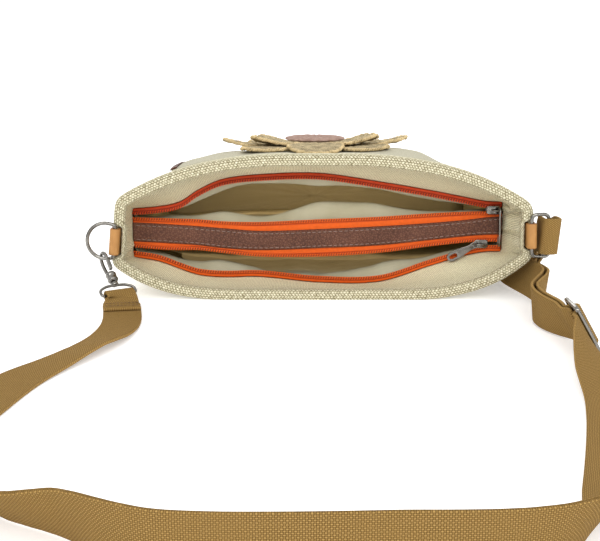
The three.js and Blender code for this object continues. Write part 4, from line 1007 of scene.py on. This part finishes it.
def lining(front):
    rows = LINING_ROWS[:, None]
    places = even_places(lining_ring(0, front), LINING_AROUND)
    grid = np.array([eased(at_places(lining_ring(y, front), places), LINING_EASE) for y in LINING_ROWS])
    across = np.arange(LINING_AROUND) / LINING_AROUND * LINING_ROUND
    slack = ripples(across, rows * CREASE_STRETCH, WIDE_CREASE) + ripples(across, rows, FINE_CREASE)
    slack = np.minimum(slack, SLACK_LIMIT) - LINING_INSET
    slack *= ease(LINING_Y, CREASE_FULL, rows) * mix(1, CREASE_LEFT, ease(CREASE_FADE, HANG_TO, rows))
    grid = grid + outward(grid) * slack[..., None]
    grid = np.concatenate([grid, closed_end(grid, END_STEPS)])
    return Shape(grid, grid_faces(len(grid), LINING_AROUND, around=True, last=True),
                 uv_grid(across, np.concatenate([LINING_ROWS, LINING_END + END_RUN])))


for name, front in (("front", True), ("back", False)):
    piece(f"lining_{name}_cloth", lining(front), LINING, [f"lining_{name}"],
          period=LINING_ROUND, wall=LINING_WALL)

# Patch on the front panel, puffed between its sewn edges, and the binding of its left edge
PATCH_LEFT, PATCH_RIGHT, PATCH_NEAR, PATCH_FAR, PATCH_WALL, GAP = -111.0, 97.0, -78.0, 84.0, 1.6, 0.5
PATCH_ROWS, PATCH_COLUMNS, BINDING_COLUMNS = 94, 120, 10
PUFF = curve((-111, 2.5), (-96, 4), (-66, 3.6), (-20, 2.4), (20, 2.6), (52, 5), (80, 5.6), (97, 0.4))
PATCH_PUCKER = ((46, 0.9), (17, 0.25))
BINDING_WIDE, BINDING_OVER, BINDING_WALL, BINDING_ROUND = 4.0, 1.2, 1.0, 0.9


def patch_top(x, y):
    along = np.clip(2 * (y - PATCH_NEAR) / (PATCH_FAR - PATCH_NEAR) - 1, -1, 1)
    return front_panel(x, y) + 2 * GAP + PATCH_WALL + PUFF(x) * (1 - along ** 4)


def patch_places(left, right, columns):
    return np.meshgrid(np.linspace(left, right, columns), np.linspace(PATCH_NEAR, PATCH_FAR, PATCH_ROWS))


def cloth_over(x, y, z):
    """Open sheet over a grid of places, upper side up."""
    return Shape(np.stack([x, y, z], -1), grid_faces(*x.shape), np.stack([x, y], -1))


x, y = patch_places(PATCH_LEFT, PATCH_RIGHT, PATCH_COLUMNS)
edge_fade = 1 - np.clip(np.abs(2 * y - PATCH_NEAR - PATCH_FAR) / (PATCH_FAR - PATCH_NEAR), 0, 1) ** 6
z = patch_top(x, y) + ripples(x, y, *PATCH_PUCKER) * edge_fade
patch = piece("patch_cloth", cloth_over(x, y, z), PATCH, ["front_patch"], wall=PATCH_WALL)

x, y = patch_places(PATCH_LEFT - BINDING_OVER, PATCH_LEFT + BINDING_WIDE, BINDING_COLUMNS)
z = patch_top(x, y) + BINDING_WALL + GAP - BINDING_ROUND * np.linspace(-1, 1, BINDING_COLUMNS) ** 6
piece("patch_edge", cloth_over(x, y, z), BROWN, ["patch_binding"], wall=BINDING_WALL)

# Flower of burlap petals edged with twisted cord: direction, reach, width and lift of each petal
FLOWER_X, FLOWER_Y = -2.0, -18.0
PETAL_WALL, LIFT_POWER = 2.2, 3
LOWER = dict(start=12, lie=0.6, petals=[(0, 73, 40, 7), (45, 72, 40, 5), (90, 74, 41, 6), (135, 72, 40, 7),
                                        (180, 73, 40, 8), (222, 72, 39, 1.8), (270, 40, 30, 0),
                                        (318, 71, 39, 1.5)])
UPPER = dict(start=9, lie=3.7, petals=[(30, 54, 38, 6), (90, 52, 38, 6), (150, 54, 37, 6.5), (210, 55, 38, 6),
                                       (270, 69, 42, -4.6), (330, 54, 38, 5.5)])
PETAL_SECTOR, PETAL_TILT, PETAL_ROWS, PETAL_COLUMNS, CORD_FROM = 0.94, 0.06, 48, 36, 4
PETAL_BULGE = dict(root=0.08, span=0.88, lean=1.2, fullness=0.7)
PETAL_CURL, PETAL_NAP, NEAR_CURL, NEAR_CUP = (26, 0.7), ((4.5, 0.3), (9, 0.3)), 0.5, -0.5
ROPE_RADIUS, ROPE_STRAND, ROPE_PITCH, ROPE_STEPS, ROPE_SIDES = 0.6, 0.8, 3.6, 9, 7
ROPE_THICK, ROPE_THIN, ROPE_ASIDE, ROPE_ABOVE = (7, 0.3), (2.5, 0.2), (6, 0.35), (5, 0.3)


def petal_place(layer, row, along, across):
    turn, reach, wide, lift = row
    angle = math.radians(turn)
    sector = 2 * math.tan(math.pi / len(layer["petals"])) * PETAL_SECTOR
    radius = mix(layer["start"], reach, along)
    shape = PETAL_BULGE
    bulge = np.sin(np.pi * (shape["root"] + shape["span"] * along ** shape["lean"])) ** shape["fullness"]
    aside = np.minimum(wide * bulge, radius * sector - GAP) * (across - 0.5)
    x = FLOWER_X + math.cos(angle) * radius - math.sin(angle) * aside
    y = FLOWER_Y + math.sin(angle) * radius + math.cos(angle) * aside
    tilt = PETAL_TILT * (y - FLOWER_Y - math.sin(angle) * radius) * along * abs(math.cos(angle))
    z = patch_top(x, y) + layer["lie"] + PETAL_WALL + lift * along ** LIFT_POWER + tilt
    return np.stack([x, y, z], -1), np.stack([radius, aside], -1)


def eased_open(path, rounds=6):
    """Open path with its kinks taken off, ends kept."""
    for _ in range(rounds):
        path = np.vstack([path[:1], (path[:-2] + 2 * path[1:-1] + path[2:]) / 4, path[-1:]])
    return path


def rope(path):
    """Two uneven strands twisted round each other along a path."""
    path_run = lengths(path)
    run = np.linspace(0, path_run[-1], int(path_run[-1] / ROPE_PITCH * ROPE_STEPS))
    fine = eased_open(between_rows(run, path_run, path))
    along = unit(np.gradient(fine, axis=0))
    side = unit(np.cross(along, vec(0, 0, 1)))
    up = np.cross(side, along)

    def strand(start):
        angle = run / ROPE_PITCH * math.tau + start
        radial = side * np.cos(angle)[:, None] + up * np.sin(angle)[:, None]
        size = 1 + ripples(run, start * 7, ROPE_THICK) + ripples(run, start * 5, ROPE_THIN)
        aside = ripples(run, 30 + start, ROPE_ASIDE)
        above = ripples(run, 60 + start, ROPE_ABOVE)
        path = fine + radial * ROPE_RADIUS + side * aside[:, None] + up * above[:, None]
        shape = sweep(path, radial, circle(ROPE_STRAND, ROPE_SIDES), scale=size)
        # Each strand painted darker on its inner side, where the two strands meet: painted shade.
        shape.relief = np.tile(0.5 + circle(0.5, ROPE_SIDES)[:, 0], len(fine))
        return shape

    return strand(0) + strand(math.pi)


def petal(node, layer, row):
    """One petal and the cord round its edge; the near petals curl less and droop at their sides."""
    across, along = np.meshgrid(np.linspace(0, 1, PETAL_COLUMNS), np.linspace(0, 1, PETAL_ROWS))
    places, cloth = petal_place(layer, row, along, across)
    near = math.sin(math.radians(row[0])) < -0.5
    curl = ripples(cloth[..., 0], cloth[..., 1], PETAL_CURL) * along * (NEAR_CURL if near else 1)
    cup = (2 * across - 1) ** 2 * along * (NEAR_CUP if near else 1)
    places[..., 2] += curl + cup + ripples(places[..., 0], places[..., 1], *PETAL_NAP)
    faces = [face[::-1] for face in grid_faces(PETAL_ROWS, PETAL_COLUMNS)]
    piece(f"{node}_burlap", Shape(places, faces, cloth), BURLAP, [node], wall=PETAL_WALL)
    edge = np.vstack([places[CORD_FROM:, 0], places[-1, 1:-1], places[CORD_FROM:, -1][::-1]])
    piece(f"{node}_cord", rope(edge - vec(0, 0, PETAL_WALL / 2)), ROPE)


for level, layer in (("lower", LOWER), ("upper", UPPER)):
    for number, row in enumerate(layer["petals"], 1):
        petal(f"petal_{level}_{number}", layer, row)

# Gathered cloth button in the middle of the flower
CENTRE_LIE, CENTRE_SIDES, CENTRE_GATHER, GATHER_FROM = 7.2, 120, 0.45, 14
CENTRE_PROFILE = [(0.3, 0.1), (13, 0.05), (19.2, 0.1), (22.2, 0.5), (23.6, 1.3), (23.2, 2.1), (21.4, 2.8),
                  (17.8, 3.5), (13, 3.9), (7, 4.1), (3, 3.9), (0.4, 3.5)]
turn = np.arange(CENTRE_SIDES) * math.tau / CENTRE_SIDES
pleat = np.sin(turn * 17 + 1.2 * np.sin(turn * 3)) + 0.5 * np.sin(turn * 29 + 0.7)
centre_rows = []
for r, z in CENTRE_PROFILE:
    deep = CENTRE_GATHER * min(1, r / GATHER_FROM) * (z > 0.4) * pleat
    flat = (r + deep)[:, None] * circle(1, CENTRE_SIDES)
    centre_rows.append(np.column_stack([flat, z + deep * 0.7 * (z > 1)]))
centre_grid = np.array(centre_rows) + vec(FLOWER_X, FLOWER_Y, patch_top(FLOWER_X, FLOWER_Y) + CENTRE_LIE)
centre_faces = grid_faces(len(centre_rows), CENTRE_SIDES, around=True, first=True, last=True)
centre = piece("flower_button", Shape(centre_grid, centre_faces, centre_grid[..., :2]), MAUVE,
               ["flower_centre"])

# Leather tabs round the rings' bars, and the rings
TAB_BORE, LEATHER, TAB_LEG_END, RING_WIRE, RING_CORNER = 1.55, 2.0, -100.0, 1.35, 3.6


def lean_axes(lean):
    """Axes of a frame turned about Y."""
    return vec(math.cos(lean), 0, -math.sin(lean)), vec(0, 1, 0), vec(math.sin(lean), 0, math.cos(lean))


def tab_loop(high):
    """Leather strip with two legs and a round nose, standing across the ring's bar."""
    middle = TAB_BORE + LEATHER / 2
    leg = np.linspace(TAB_LEG_END - RING_Y, 0.6, 12)
    path = [(-middle, y) for y in leg] + arc(0, 0, middle, 180, 360, 25) + [(middle, y) for y in leg[::-1]]
    section = strip_section(high, LEATHER, 11, 0.7)
    shape = sweep(np.column_stack([path, np.zeros(len(path))]), vec(0, 0, 1), section)
    shape.relief = np.tile(ease(high / 2 - 0.9, high / 2 - 0.1, np.abs(section[:, 0])), len(path))
    return shape


def ring_wire(path):
    return sweep(path, vec(0, 1, 0), circle(RING_WIRE, 16), closed=True)


def d_ring(high, reach):
    radius = high / 2 - RING_WIRE
    bar_places = [(0, share * radius) for share in (-0.75, -0.4, 0, 0.4, 0.75)]
    bow = arc(radius - reach, 0, radius, 90, 270, 41)
    route = bar_places + [(-0.6, 0.92 * radius)] + bow + [(-0.6, -0.92 * radius)]
    return ring_wire(smoothed(upright(route + route[:1]), np.linspace(0, 1, 161)[:-1]))


def square_ring(high, reach):
    half = high / 2 - RING_WIRE
    return ring_wire(upright(round_box(0, reach, -half, half, RING_CORNER, 9)))


for side, spot, ring in (("left", LEFT_RING, d_ring), ("right", RIGHT_RING, square_ring)):
    frame_at = (*lean_axes(spot["lean"]), spot["place"])
    piece(f"tab_{side}_leather", tab_loop(spot["tab"]).placed(*frame_at), TAN, [f"tab_{side}"])
    piece(f"ring_{side}_wire", ring(spot["high"], spot["reach"]).placed(*frame_at), NICKEL,
          [f"ring_{side}"])

# Snap hook in the left ring, its gate and the swivel eye that carries the strap
HOOK_AXIS = unit(vec(-0.43, 0.6, 0.67))
HOOK_LEVEL = unit(np.cross(HOOK_AXIS, vec(0, 0, 1)))
HOOK_SIDE = np.cross(HOOK_LEVEL, HOOK_AXIS)
HOOK_AT = vec(-146.516, -137.241, 16.707)
HOOK_FRAME = (HOOK_SIDE, HOOK_LEVEL, HOOK_AXIS, HOOK_AT)
HOOK_ROUTE = [(-0.5, 6), (-3.5, 9.2), (-4.7, 14), (-4.7, 20.7), (-3.3, 24.4), (0, 25.7), (3.3, 24.4),
              (4.7, 21.1), (4.7, 17.8)]
HOOK_WIRE, HOOK_STEPS, EYE_WIRE, EYE_BAR_AT = 1.25, np.linspace(0, 1, 70), 1.0, -11
BARREL = [(0, 4.2), (1.6, 4.2), (1.6, 0), (2.7, 0), (2.95, 0.15), (3.7, 1.3), (3.8, 1.6), (3.8, 2.4),
          (3.55, 2.7), (3.55, 5.2), (3.8, 5.5), (3.8, 6.4), (3.6, 7.0), (3, 7.9), (2.8, 8), (0, 8)]
STEM = [(0, -3.2), (2.2, -3.2), (2.4, -3.0), (2.4, -0.6), (2.2, -0.4), (1.2, -0.4), (1.2, 3.7), (0, 3.7)]
EYE_SIDE = [(12.2, EYE_BAR_AT), (13.1, -10), (12.8, -6.4), (8.6, -3.9), (5.4, -3.2)]
hook_size = np.interp(HOOK_STEPS, [0, 0.12, 0.5, 0.9, 1], [1.25, 1.05, 1, 1, 0.8])
hook_path = smoothed(upright(HOOK_ROUTE), HOOK_STEPS)
hook_shape = sweep(hook_path, vec(0, 1, 0), circle(HOOK_WIRE, 16), scale=hook_size) + turned(BARREL)
piece("snap_hook_body", hook_shape.placed(*HOOK_FRAME), NICKEL, ["snap_hook"])
eye_route = [(0, out, z) for out, z in EYE_SIDE] + [(0, 0, -3)] + [(0, -out, z) for out, z in EYE_SIDE[::-1]]
eye_route += [(0, y, EYE_BAR_AT) for y in np.linspace(-9.5, 9.5, 9)] + eye_route[:1]
eye_path = smoothed(eye_route, np.linspace(0, 1, 150)[:-1])
eye_shape = sweep(eye_path, vec(1, 0, 0), circle(EYE_WIRE), closed=True) + turned(STEM)
piece("swivel_eye_wire", eye_shape.placed(*HOOK_FRAME), NICKEL, ["swivel_eye"])


def plate(name, loops, wall, bevel, axes, origin, stands_for=(), body="bag"):
    """Flat metal plate cut to an outline, with holes, its edges broken; loops lie in its first two axes."""
    outline = bpy.data.curves.new(name, "CURVE")
    outline.dimensions = "2D"
    outline.fill_mode = "BOTH"
    outline.extrude = wall / 2 - bevel
    outline.bevel_depth = bevel
    outline.bevel_resolution = 2
    outline.offset = -bevel
    for loop in loops:
        spline = outline.splines.new("POLY")
        spline.points.add(len(loop) - 1)
        for point, (x, y) in zip(spline.points, loop):
            point.co = (x, y, 0, 1)
        spline.use_cyclic_u = True
    drawn = bpy.data.objects.new(name, outline)
    scene.collection.objects.link(drawn)
    mesh = bpy.data.meshes.new_from_object(drawn.evaluated_get(bpy.context.evaluated_depsgraph_get()))
    shape = Shape([v.co[:] for v in mesh.vertices], [p.vertices for p in mesh.polygons])
    bpy.data.objects.remove(drawn)
    bpy.data.curves.remove(outline)
    bpy.data.meshes.remove(mesh)
    obj = piece(name, shape.placed(*axes, origin), NICKEL, stands_for, body)
    obj.modifiers.new("weld", "WELD").merge_threshold = 1e-6
    obj.modifiers.new("edges", "EDGE_SPLIT").split_angle = math.radians(50)
    return obj


GATE_OUTLINE = [(2.5, 8.9), (4.7, 8.9), (5.7, 10.9), (5.7, 17.2), (3.7, 17.2)]
GATE_WALL, GATE_BEVEL = 2.2, 0.3
plate("snap_gate_plate", [GATE_OUTLINE], GATE_WALL, GATE_BEVEL,
      (HOOK_SIDE, HOOK_AXIS, np.cross(HOOK_SIDE, HOOK_AXIS)), HOOK_AT, ["snap_gate"], "gate")

# Shoulder strap: the route's places, height of the lower edge and bank across, as in the part's source
STRAP_WIDE, STRAP_THICK = 26.0, 2.0
STRAP_ROUTE = [
    (-138.4, -155, 1, 0), (-133.8, -181, 0.4, 0), (-131.5, -207, 0.3, 1), (-133.5, -237, 0.3, 6),
    (-141, -265, 0.3, 12), (-154, -295, 0.3, 4), (-164.5, -325, 0.3, -4), (-171, -368, 0.3, -6),
    (-174, -410, 0.3, -8), (-167, -458, 0.3, -19), (-150, -487, 0.3, -31), (-131, -507, 0.3, -41),
    (-112, -517, 0.3, -51), (-97, -524.5, 0.3, -66), (-80, -539, 0.3, -80), (-62, -549, 0.3, -87),
    (-25, -552, 0.3, -90), (20, -550.5, 0.3, -90), (56, -549, 0.3, -88), (75, -542, 0.3, -78),
    (91, -525, 0.3, -60), (102.5, -503, 0.3, -36), (111, -478, 0.3, -12), (129, -418, 0.3, 2),
    (141.5, -366, 0.4, 7), (145, -331, 0.8, 20), (151, -291, 2.2, 44),
]
SLIDER_AT = (155, -260, 4, 60)
DOUBLE_ROUTE = [
    (150.5, -237, 2.4, 66, 2.8), (144, -215, 1.8, 76, 3.4), (144, -192, 1.6, 84, 3.8),
    (154, -163, 1.6, 94, 4), (159, -142, 1.6, 100, 3.6), (157, -116, 1.6, 109, 3),
    (153, -90, 1.6, 117, 2.8), (151, -68, 1.6, 119, 2.8), (154, -48, 1.9, 110, 2.8), (164, -37, 5.5, 93, 3),
    (171, -43, 11, 90, 3.2), (171, -58, 18.5, 90, 4.2), (166.5, -82, 27.5, 90, 7.6),
    (161, -110, 34.6, 90, 11),
]
WEAVE_AT = [(-14.5, -2.7), (-9, -2.7), (-2.4, 2.7), (2.4, 2.7), (9, -2.7), (14.5, -2.7)]
SEWN_END = [(14.5, -5.4), (9, -5.2), (2.4, -2.7), (-3, -2.7)]
EYE_BAR = HOOK_AT + EYE_BAR_AT * HOOK_AXIS
EYE_RADIUS, EYE_LEAVE, EYE_STEPS, EYE_GATHER = 2.6, 6.0, 5, 0.83
RING_BAR = vec(164.927, -124, 47.78)
RING_PAST, RING_ACROSS, RING_OUT, RING_STEPS, RING_LEAN = 1.1, 5.6, 4.2, 6, math.radians(5)
TAIL_STATIONS, TAIL_ABOVE, SLIDER_CLEAR, STEPS_PER_ROW, STEPS_PER_STATION = 2, 2.4, 20.0, 2, 4


def strap_stations():
    """Stations of the whole webbing: place, direction across and share of its width."""
    rows = [r + (0,) for r in STRAP_ROUTE] + [SLIDER_AT + (0,)] + DOUBLE_ROUTE
    x, y, lift, bank, layer = np.array(rows, float).T
    turn = np.radians(bank)
    height = lift + STRAP_WIDE / 2 * np.abs(np.sin(turn)) + STRAP_THICK / 2 * np.abs(np.cos(turn))
    route = np.stack([x, y, height], 1)
    count = (len(rows) - 1) * STEPS_PER_ROW
    shares = np.arange(count + 1) / count
    place = smoothed(route, shares)
    ahead, behind = np.minimum(shares + 1e-4, 1), np.maximum(shares - 1e-4, 0)
    along = unit(smoothed(route, ahead) - smoothed(route, behind))
    index, at = np.arange(len(rows)), np.arange(count + 1) / STEPS_PER_ROW
    bank, layer = np.radians(read(index, bank, at)), read(index, layer, at)
    level = unit(np.cross(vec(0, 0, 1), along))
    across = level * np.cos(bank)[:, None] + np.cross(along, level) * np.sin(bank)[:, None]
    face = np.cross(along, across)
    middle = len(STRAP_ROUTE) * STEPS_PER_ROW
    clear = np.linalg.norm(place - place[middle], axis=1) > SLIDER_CLEAR
    single = [i for i in range(middle) if clear[i]]
    double = [i for i in range(middle + 1, count + 1) if clear[i]]
    at_slider = (place[middle], along[middle], across[middle], face[middle])

    stations = [(place[i] + TAIL_ABOVE * face[i], across[i], 1) for i in reversed(single[:TAIL_STATIONS])]
    below = EYE_BAR - EYE_LEAVE * HOOK_AXIS
    stations.append((below + EYE_RADIUS * HOOK_SIDE, HOOK_LEVEL, EYE_GATHER))
    for angle in np.linspace(0, math.pi, EYE_STEPS + 1):
        out = HOOK_SIDE * math.cos(angle) + HOOK_AXIS * math.sin(angle)
        stations.append((EYE_BAR + EYE_RADIUS * out, HOOK_LEVEL, EYE_GATHER))
    stations.append((below - EYE_RADIUS * HOOK_SIDE, HOOK_LEVEL, EYE_GATHER))
    stations += [(place[i], across[i], 1) for i in single]
    stations += [(at_slider[0] + a * at_slider[1] + f * at_slider[3], at_slider[2], 1) for a, f in WEAVE_AT]
    stations += [(place[i], across[i], 1) for i in double]
    leaning = vec(math.sin(RING_LEAN), 0, math.cos(RING_LEAN))
    for angle in np.linspace(0, math.pi, RING_STEPS + 1):
        turned_by = vec(RING_PAST - RING_ACROSS * math.cos(angle), -RING_OUT * math.sin(angle), 0)
        stations.append((RING_BAR + turned_by, leaning, 1))
    stations += [(place[i] - layer[i] * face[i], across[i], 1) for i in reversed(double)]
    stations += [(at_slider[0] + a * at_slider[1] + f * at_slider[3], at_slider[2], 1) for a, f in SEWN_END]
    return stations, at_slider


def fine_ribbon(stations, steps):
    """Closer stations on a smooth curve: places, directions across and shares of the width."""
    places, sides, widths = (np.array([station[k] for station in stations]) for k in range(3))
    count = (len(stations) - 1) * steps
    shares = np.arange(count + 1) / count
    at, index = shares * (len(stations) - 1), np.arange(len(stations))
    return smoothed(places, shares), between_rows(at, index, sides), np.interp(at, index, widths)


STATIONS, SLIDER_FRAME = strap_stations()
strap_path, strap_side, strap_wide = fine_ribbon(STATIONS, STEPS_PER_STATION)
strap_run = lengths(strap_path)
strap_scale = np.stack([strap_wide, np.ones(len(strap_wide))], 1)
strap_shape = sweep(strap_path, strap_side, strip_section(STRAP_WIDE, STRAP_THICK, 15, 0.6), strap_scale)
strap = piece("strap_webbing", strap_shape, WEBBING, ["strap"])

# Two seams across the sewn tail
SEAM_RUNS, SEAM_HALF, SEAM_STEP, SEAM_LONG, SEAM_THICK, SEAM_SUNK = (4.5, 12.5), 10.4, 2.6, 1.7, 0.7, 0.1


def strap_seam(run):
    at = int(np.searchsorted(strap_run, run))
    across = unit(strap_side[at])
    up = np.cross(across, unit(strap_path[at + 1] - strap_path[at - 1]))
    up = up * np.sign(up[2])
    offsets = np.arange(-SEAM_HALF, SEAM_HALF + SEAM_STEP / 2, SEAM_STEP)
    places = strap_path[at] + np.outer(offsets, across) + up * (STRAP_THICK / 2 - SEAM_SUNK)
    return stitches(places, across, up, SEAM_LONG, SEAM_THICK)


piece("strap_seams", joined(strap_seam(run) for run in SEAM_RUNS), STRAP_THREAD)

# Three-bar slider on the strap
SLIDER_WIDE, SLIDER_LONG, SLIDER_BAR, SLIDER_THICK, SLIDER_CORNER = 33.0, 25.0, 2.6, 2.4, 3.0
SLOT_WIDE, SLOT_CORNER, SLIDER_BEVEL = 27.8, 1.0, 0.7
slider_place, slider_along, slider_across, slider_face = SLIDER_FRAME
slot_near, slot_far = SLIDER_BAR / 2, SLIDER_LONG / 2 - SLIDER_BAR
slider_loops = [round_box(-wide / 2, wide / 2, low, high, corner) for wide, low, high, corner in (
    (SLIDER_WIDE, -SLIDER_LONG / 2, SLIDER_LONG / 2, SLIDER_CORNER),
    (SLOT_WIDE, -slot_far, -slot_near, SLOT_CORNER),
    (SLOT_WIDE, slot_near, slot_far, SLOT_CORNER))]
slider = plate("strap_slider_frame", slider_loops, SLIDER_THICK, SLIDER_BEVEL,
               (slider_across, slider_along, -slider_face), slider_place, ["strap_slider"])
tuple(EYE_BAR * MM)

# Zip sliders, each of two plates, a post and a wire crown
FRONT_SLIDER = dict(x=130.6, z=62.05, left=129.0, right=136.6)
BACK_SLIDER = dict(x=122.0, z=36.4, left=117.4, right=124.4)
SLIDER_OUTLINE = [(-5, -2.2), (-3.5, -3.2), (4, -3.2), (5, -2), (5, 2), (4, 3.2), (-3.5, 3.2), (-5, 2.2)]
PLATE_WALL, PLATE_BEVEL, PLATE_FRONT, PLATE_BACK = 1.2, 0.35, -2.5, 2.4
CROWN_WIRE, CROWN_OUT, POST_RADIUS = 1.2, 7.8, 0.6
CROWN_CORNER = ((0, 1.6), (0.5, 0.4), (1.6, 0))
FACING_CAMERA = (vec(1, 0, 0), vec(0, 0, 1), vec(0, -1, 0))


def zip_slider(name, spot):
    middle = vec(spot["x"], ZIP_Y, spot["z"])
    for side, y, stands_for in (("front", PLATE_FRONT, [f"zip_{name}"]), ("back", PLATE_BACK, [])):
        plate(f"{name}_{side}", [SLIDER_OUTLINE], PLATE_WALL, PLATE_BEVEL, FACING_CAMERA,
              middle + vec(0, y, 0), stands_for)
    left, right = spot["left"] + CROWN_WIRE / 2, spot["right"] - CROWN_WIRE / 2
    out = CROWN_WIRE / 2 - CROWN_OUT
    route = [(left, PLATE_FRONT, 0)] + [(left + x, out + y, 0) for x, y in CROWN_CORNER]
    route += [(right - x, out + y, 0) for x, y in CROWN_CORNER[::-1]] + [(right, PLATE_FRONT, 0)]
    path = smoothed(np.array(route) + vec(0, ZIP_Y, spot["z"]), np.linspace(0, 1, 50))
    post = middle + np.outer((PLATE_FRONT, 0, PLATE_BACK), vec(0, 1, 0))
    crown = sweep(path, vec(0, 0, 1), circle(CROWN_WIRE / 2, 12))
    crown += sweep(post, vec(0, 0, 1), circle(POST_RADIUS, 10))
    piece(f"{name}_crown", crown, NICKEL)


zip_slider("slider_front", FRONT_SLIDER)
zip_slider("slider_back", BACK_SLIDER)

# Zip pulls: the front one hangs straight down, the back one lies over to the left
PULL_EYE, PULL_NECK, PULL_WAIST, PULL_WAIST_AT, PULL_HALF = 1.7, 2.7, 2.0, 5.4, 3.5
PULL_SLOT, PULL_SLOT_LONG, PULL_TAPER, PULL_WALL, PULL_BEVEL = 1.5, 3.0, 0.6, 1.2, 0.25
FRONT_PULL_X, FRONT_PULL_LONG = 134.6, 27.0
BACK_PULL_LONG, BACK_PULL_DROP, BACK_PULL_OUT = 24.0, 28.0, 5.2


def zip_pull(side, long, axes, place):
    """Pull hanging along -Y from its eye, with a slot near its round end."""
    end = PULL_HALF - long
    outer = arc(0, 0, PULL_NECK, 0, 180) + [(-PULL_WAIST, -PULL_WAIST_AT), (-PULL_HALF, -long * PULL_TAPER)]
    outer += arc(0, end, PULL_HALF, 180, 360)
    outer += [(PULL_HALF, -long * PULL_TAPER), (PULL_WAIST, -PULL_WAIST_AT)]
    eye = arc(0, 0, PULL_EYE, 0, 345, 24)
    slot = arc(0, end + PULL_SLOT_LONG, PULL_SLOT, 0, 180) + arc(0, end, PULL_SLOT, 180, 360)
    plate(f"{side}_pull_plate", [outer, eye, slot], PULL_WALL, PULL_BEVEL, axes, place, [f"zip_pull_{side}"],
          f"{side}_pull")


zip_pull("front", FRONT_PULL_LONG, (vec(0, 1, 0), vec(0, 0, 1), vec(1, 0, 0)),
         vec(FRONT_PULL_X, ZIP_Y - CROWN_OUT + CROWN_WIRE / 2, FRONT_SLIDER["z"]))
drop_x, _, drop_y = lean_axes(math.radians(90 - BACK_PULL_DROP))
zip_pull("back", BACK_PULL_LONG, (drop_x, drop_y, vec(0, -1, 0)),
         vec(BACK_SLIDER["left"] + CROWN_WIRE / 2, ZIP_Y - BACK_PULL_OUT, BACK_SLIDER["z"]))

# Pale floor
WHITE, FLOOR_GLOW, FLOOR_HALF = (1, 1, 1, 1), 0.35, 6
floor_mesh = bpy.data.meshes.new("floor")
floor_corners = [(x * FLOOR_HALF, y * FLOOR_HALF, 0) for x, y in ((-1, -1), (1, -1), (1, 1), (-1, 1))]
floor_mesh.from_pydata(floor_corners, [], [(0, 1, 2, 3)])
floor_mesh.materials.append(Paint("floor_paint", Base_Color=(0.9, 0.9, 0.9, 1), Roughness=0.9,
                                  Emission_Color=WHITE, Emission_Strength=FLOOR_GLOW).owner)
floor = bpy.data.objects.new("floor", floor_mesh)
scene.collection.objects.link(floor)

# White surroundings, dimmer from low down behind the camera, so that metal mirrors some contrast
SKY_LOW, SKY_HIGH = 0.45, 1.08
sky = Paint("studio", bpy.data.worlds, "Background", Color=WHITE)
_, away, height = sky.parts(sky.space("Generated"))
high_up, far_off = (level.op("MULTIPLY_ADD", SKY_HIGH - SKY_LOW, SKY_LOW)
                    for level in (height.between(0.05, 0.6), away.between(-0.3, 0.3)))
seen = sky.add("ShaderNodeLightPath", "Is Camera Ray")
sky.fill(sky.shader, {"Strength": high_up.op("MAXIMUM", far_off).op("MAXIMUM", seen)})
scene.world = sky.owner

# Soft studio lights in metres and watts, and the light that comes through the jute into the two pouches
MOUTH, NEUTRAL, POUCH_TINT = (0, -0.15, 0.05), (1, 1, 1), (1.0, 0.74, 0.45)
LIGHTS = (
    ("key", (-2.8, -6.8, 4.2), MOUTH, (3.2, 3.2), 130, NEUTRAL),
    ("front", (0.4, -7.6, 4.0), MOUTH, (3.2, 3.2), 185, NEUTRAL),
    ("fill", (4.0, -6.0, 3.6), MOUTH, (3.6, 3.6), 80, NEUTRAL),
    ("behind", (-0.8, 3.5, 2.6), MOUTH, (2.4, 2.4), 40, NEUTRAL),
    ("deep_front", (0, 0, 0.066), (0, 1, 0.06), (0.25, 0.03), 0.045, POUCH_TINT),
    ("floor_front", (0, -0.02, 0.0485), (0, -0.02, 0), (0.26, 0.06), 0.007, POUCH_TINT),
    ("deep_back", (0, 0, 0.018), (0, 1, 0.01), (0.25, 0.016), 0.006, POUCH_TINT),
    ("floor_back", (0, -0.015, 0.0125), (0, -0.015, 0), (0.26, 0.09), 0.016, POUCH_TINT),
)
for name, place, aim, size, power, color in LIGHTS:
    lamp = bpy.data.lights.new(name, "AREA")
    lamp.shape = "ELLIPSE"
    lamp.size, lamp.size_y = size
    lamp.energy = power
    lamp.color = color
    light = bpy.data.objects.new(name, lamp)
    light.location = place
    light.rotation_euler = (Vector(aim) - Vector(place)).to_track_quat("-Z", "Y").to_euler()
    light.visible_camera = False
    scene.collection.objects.link(light)
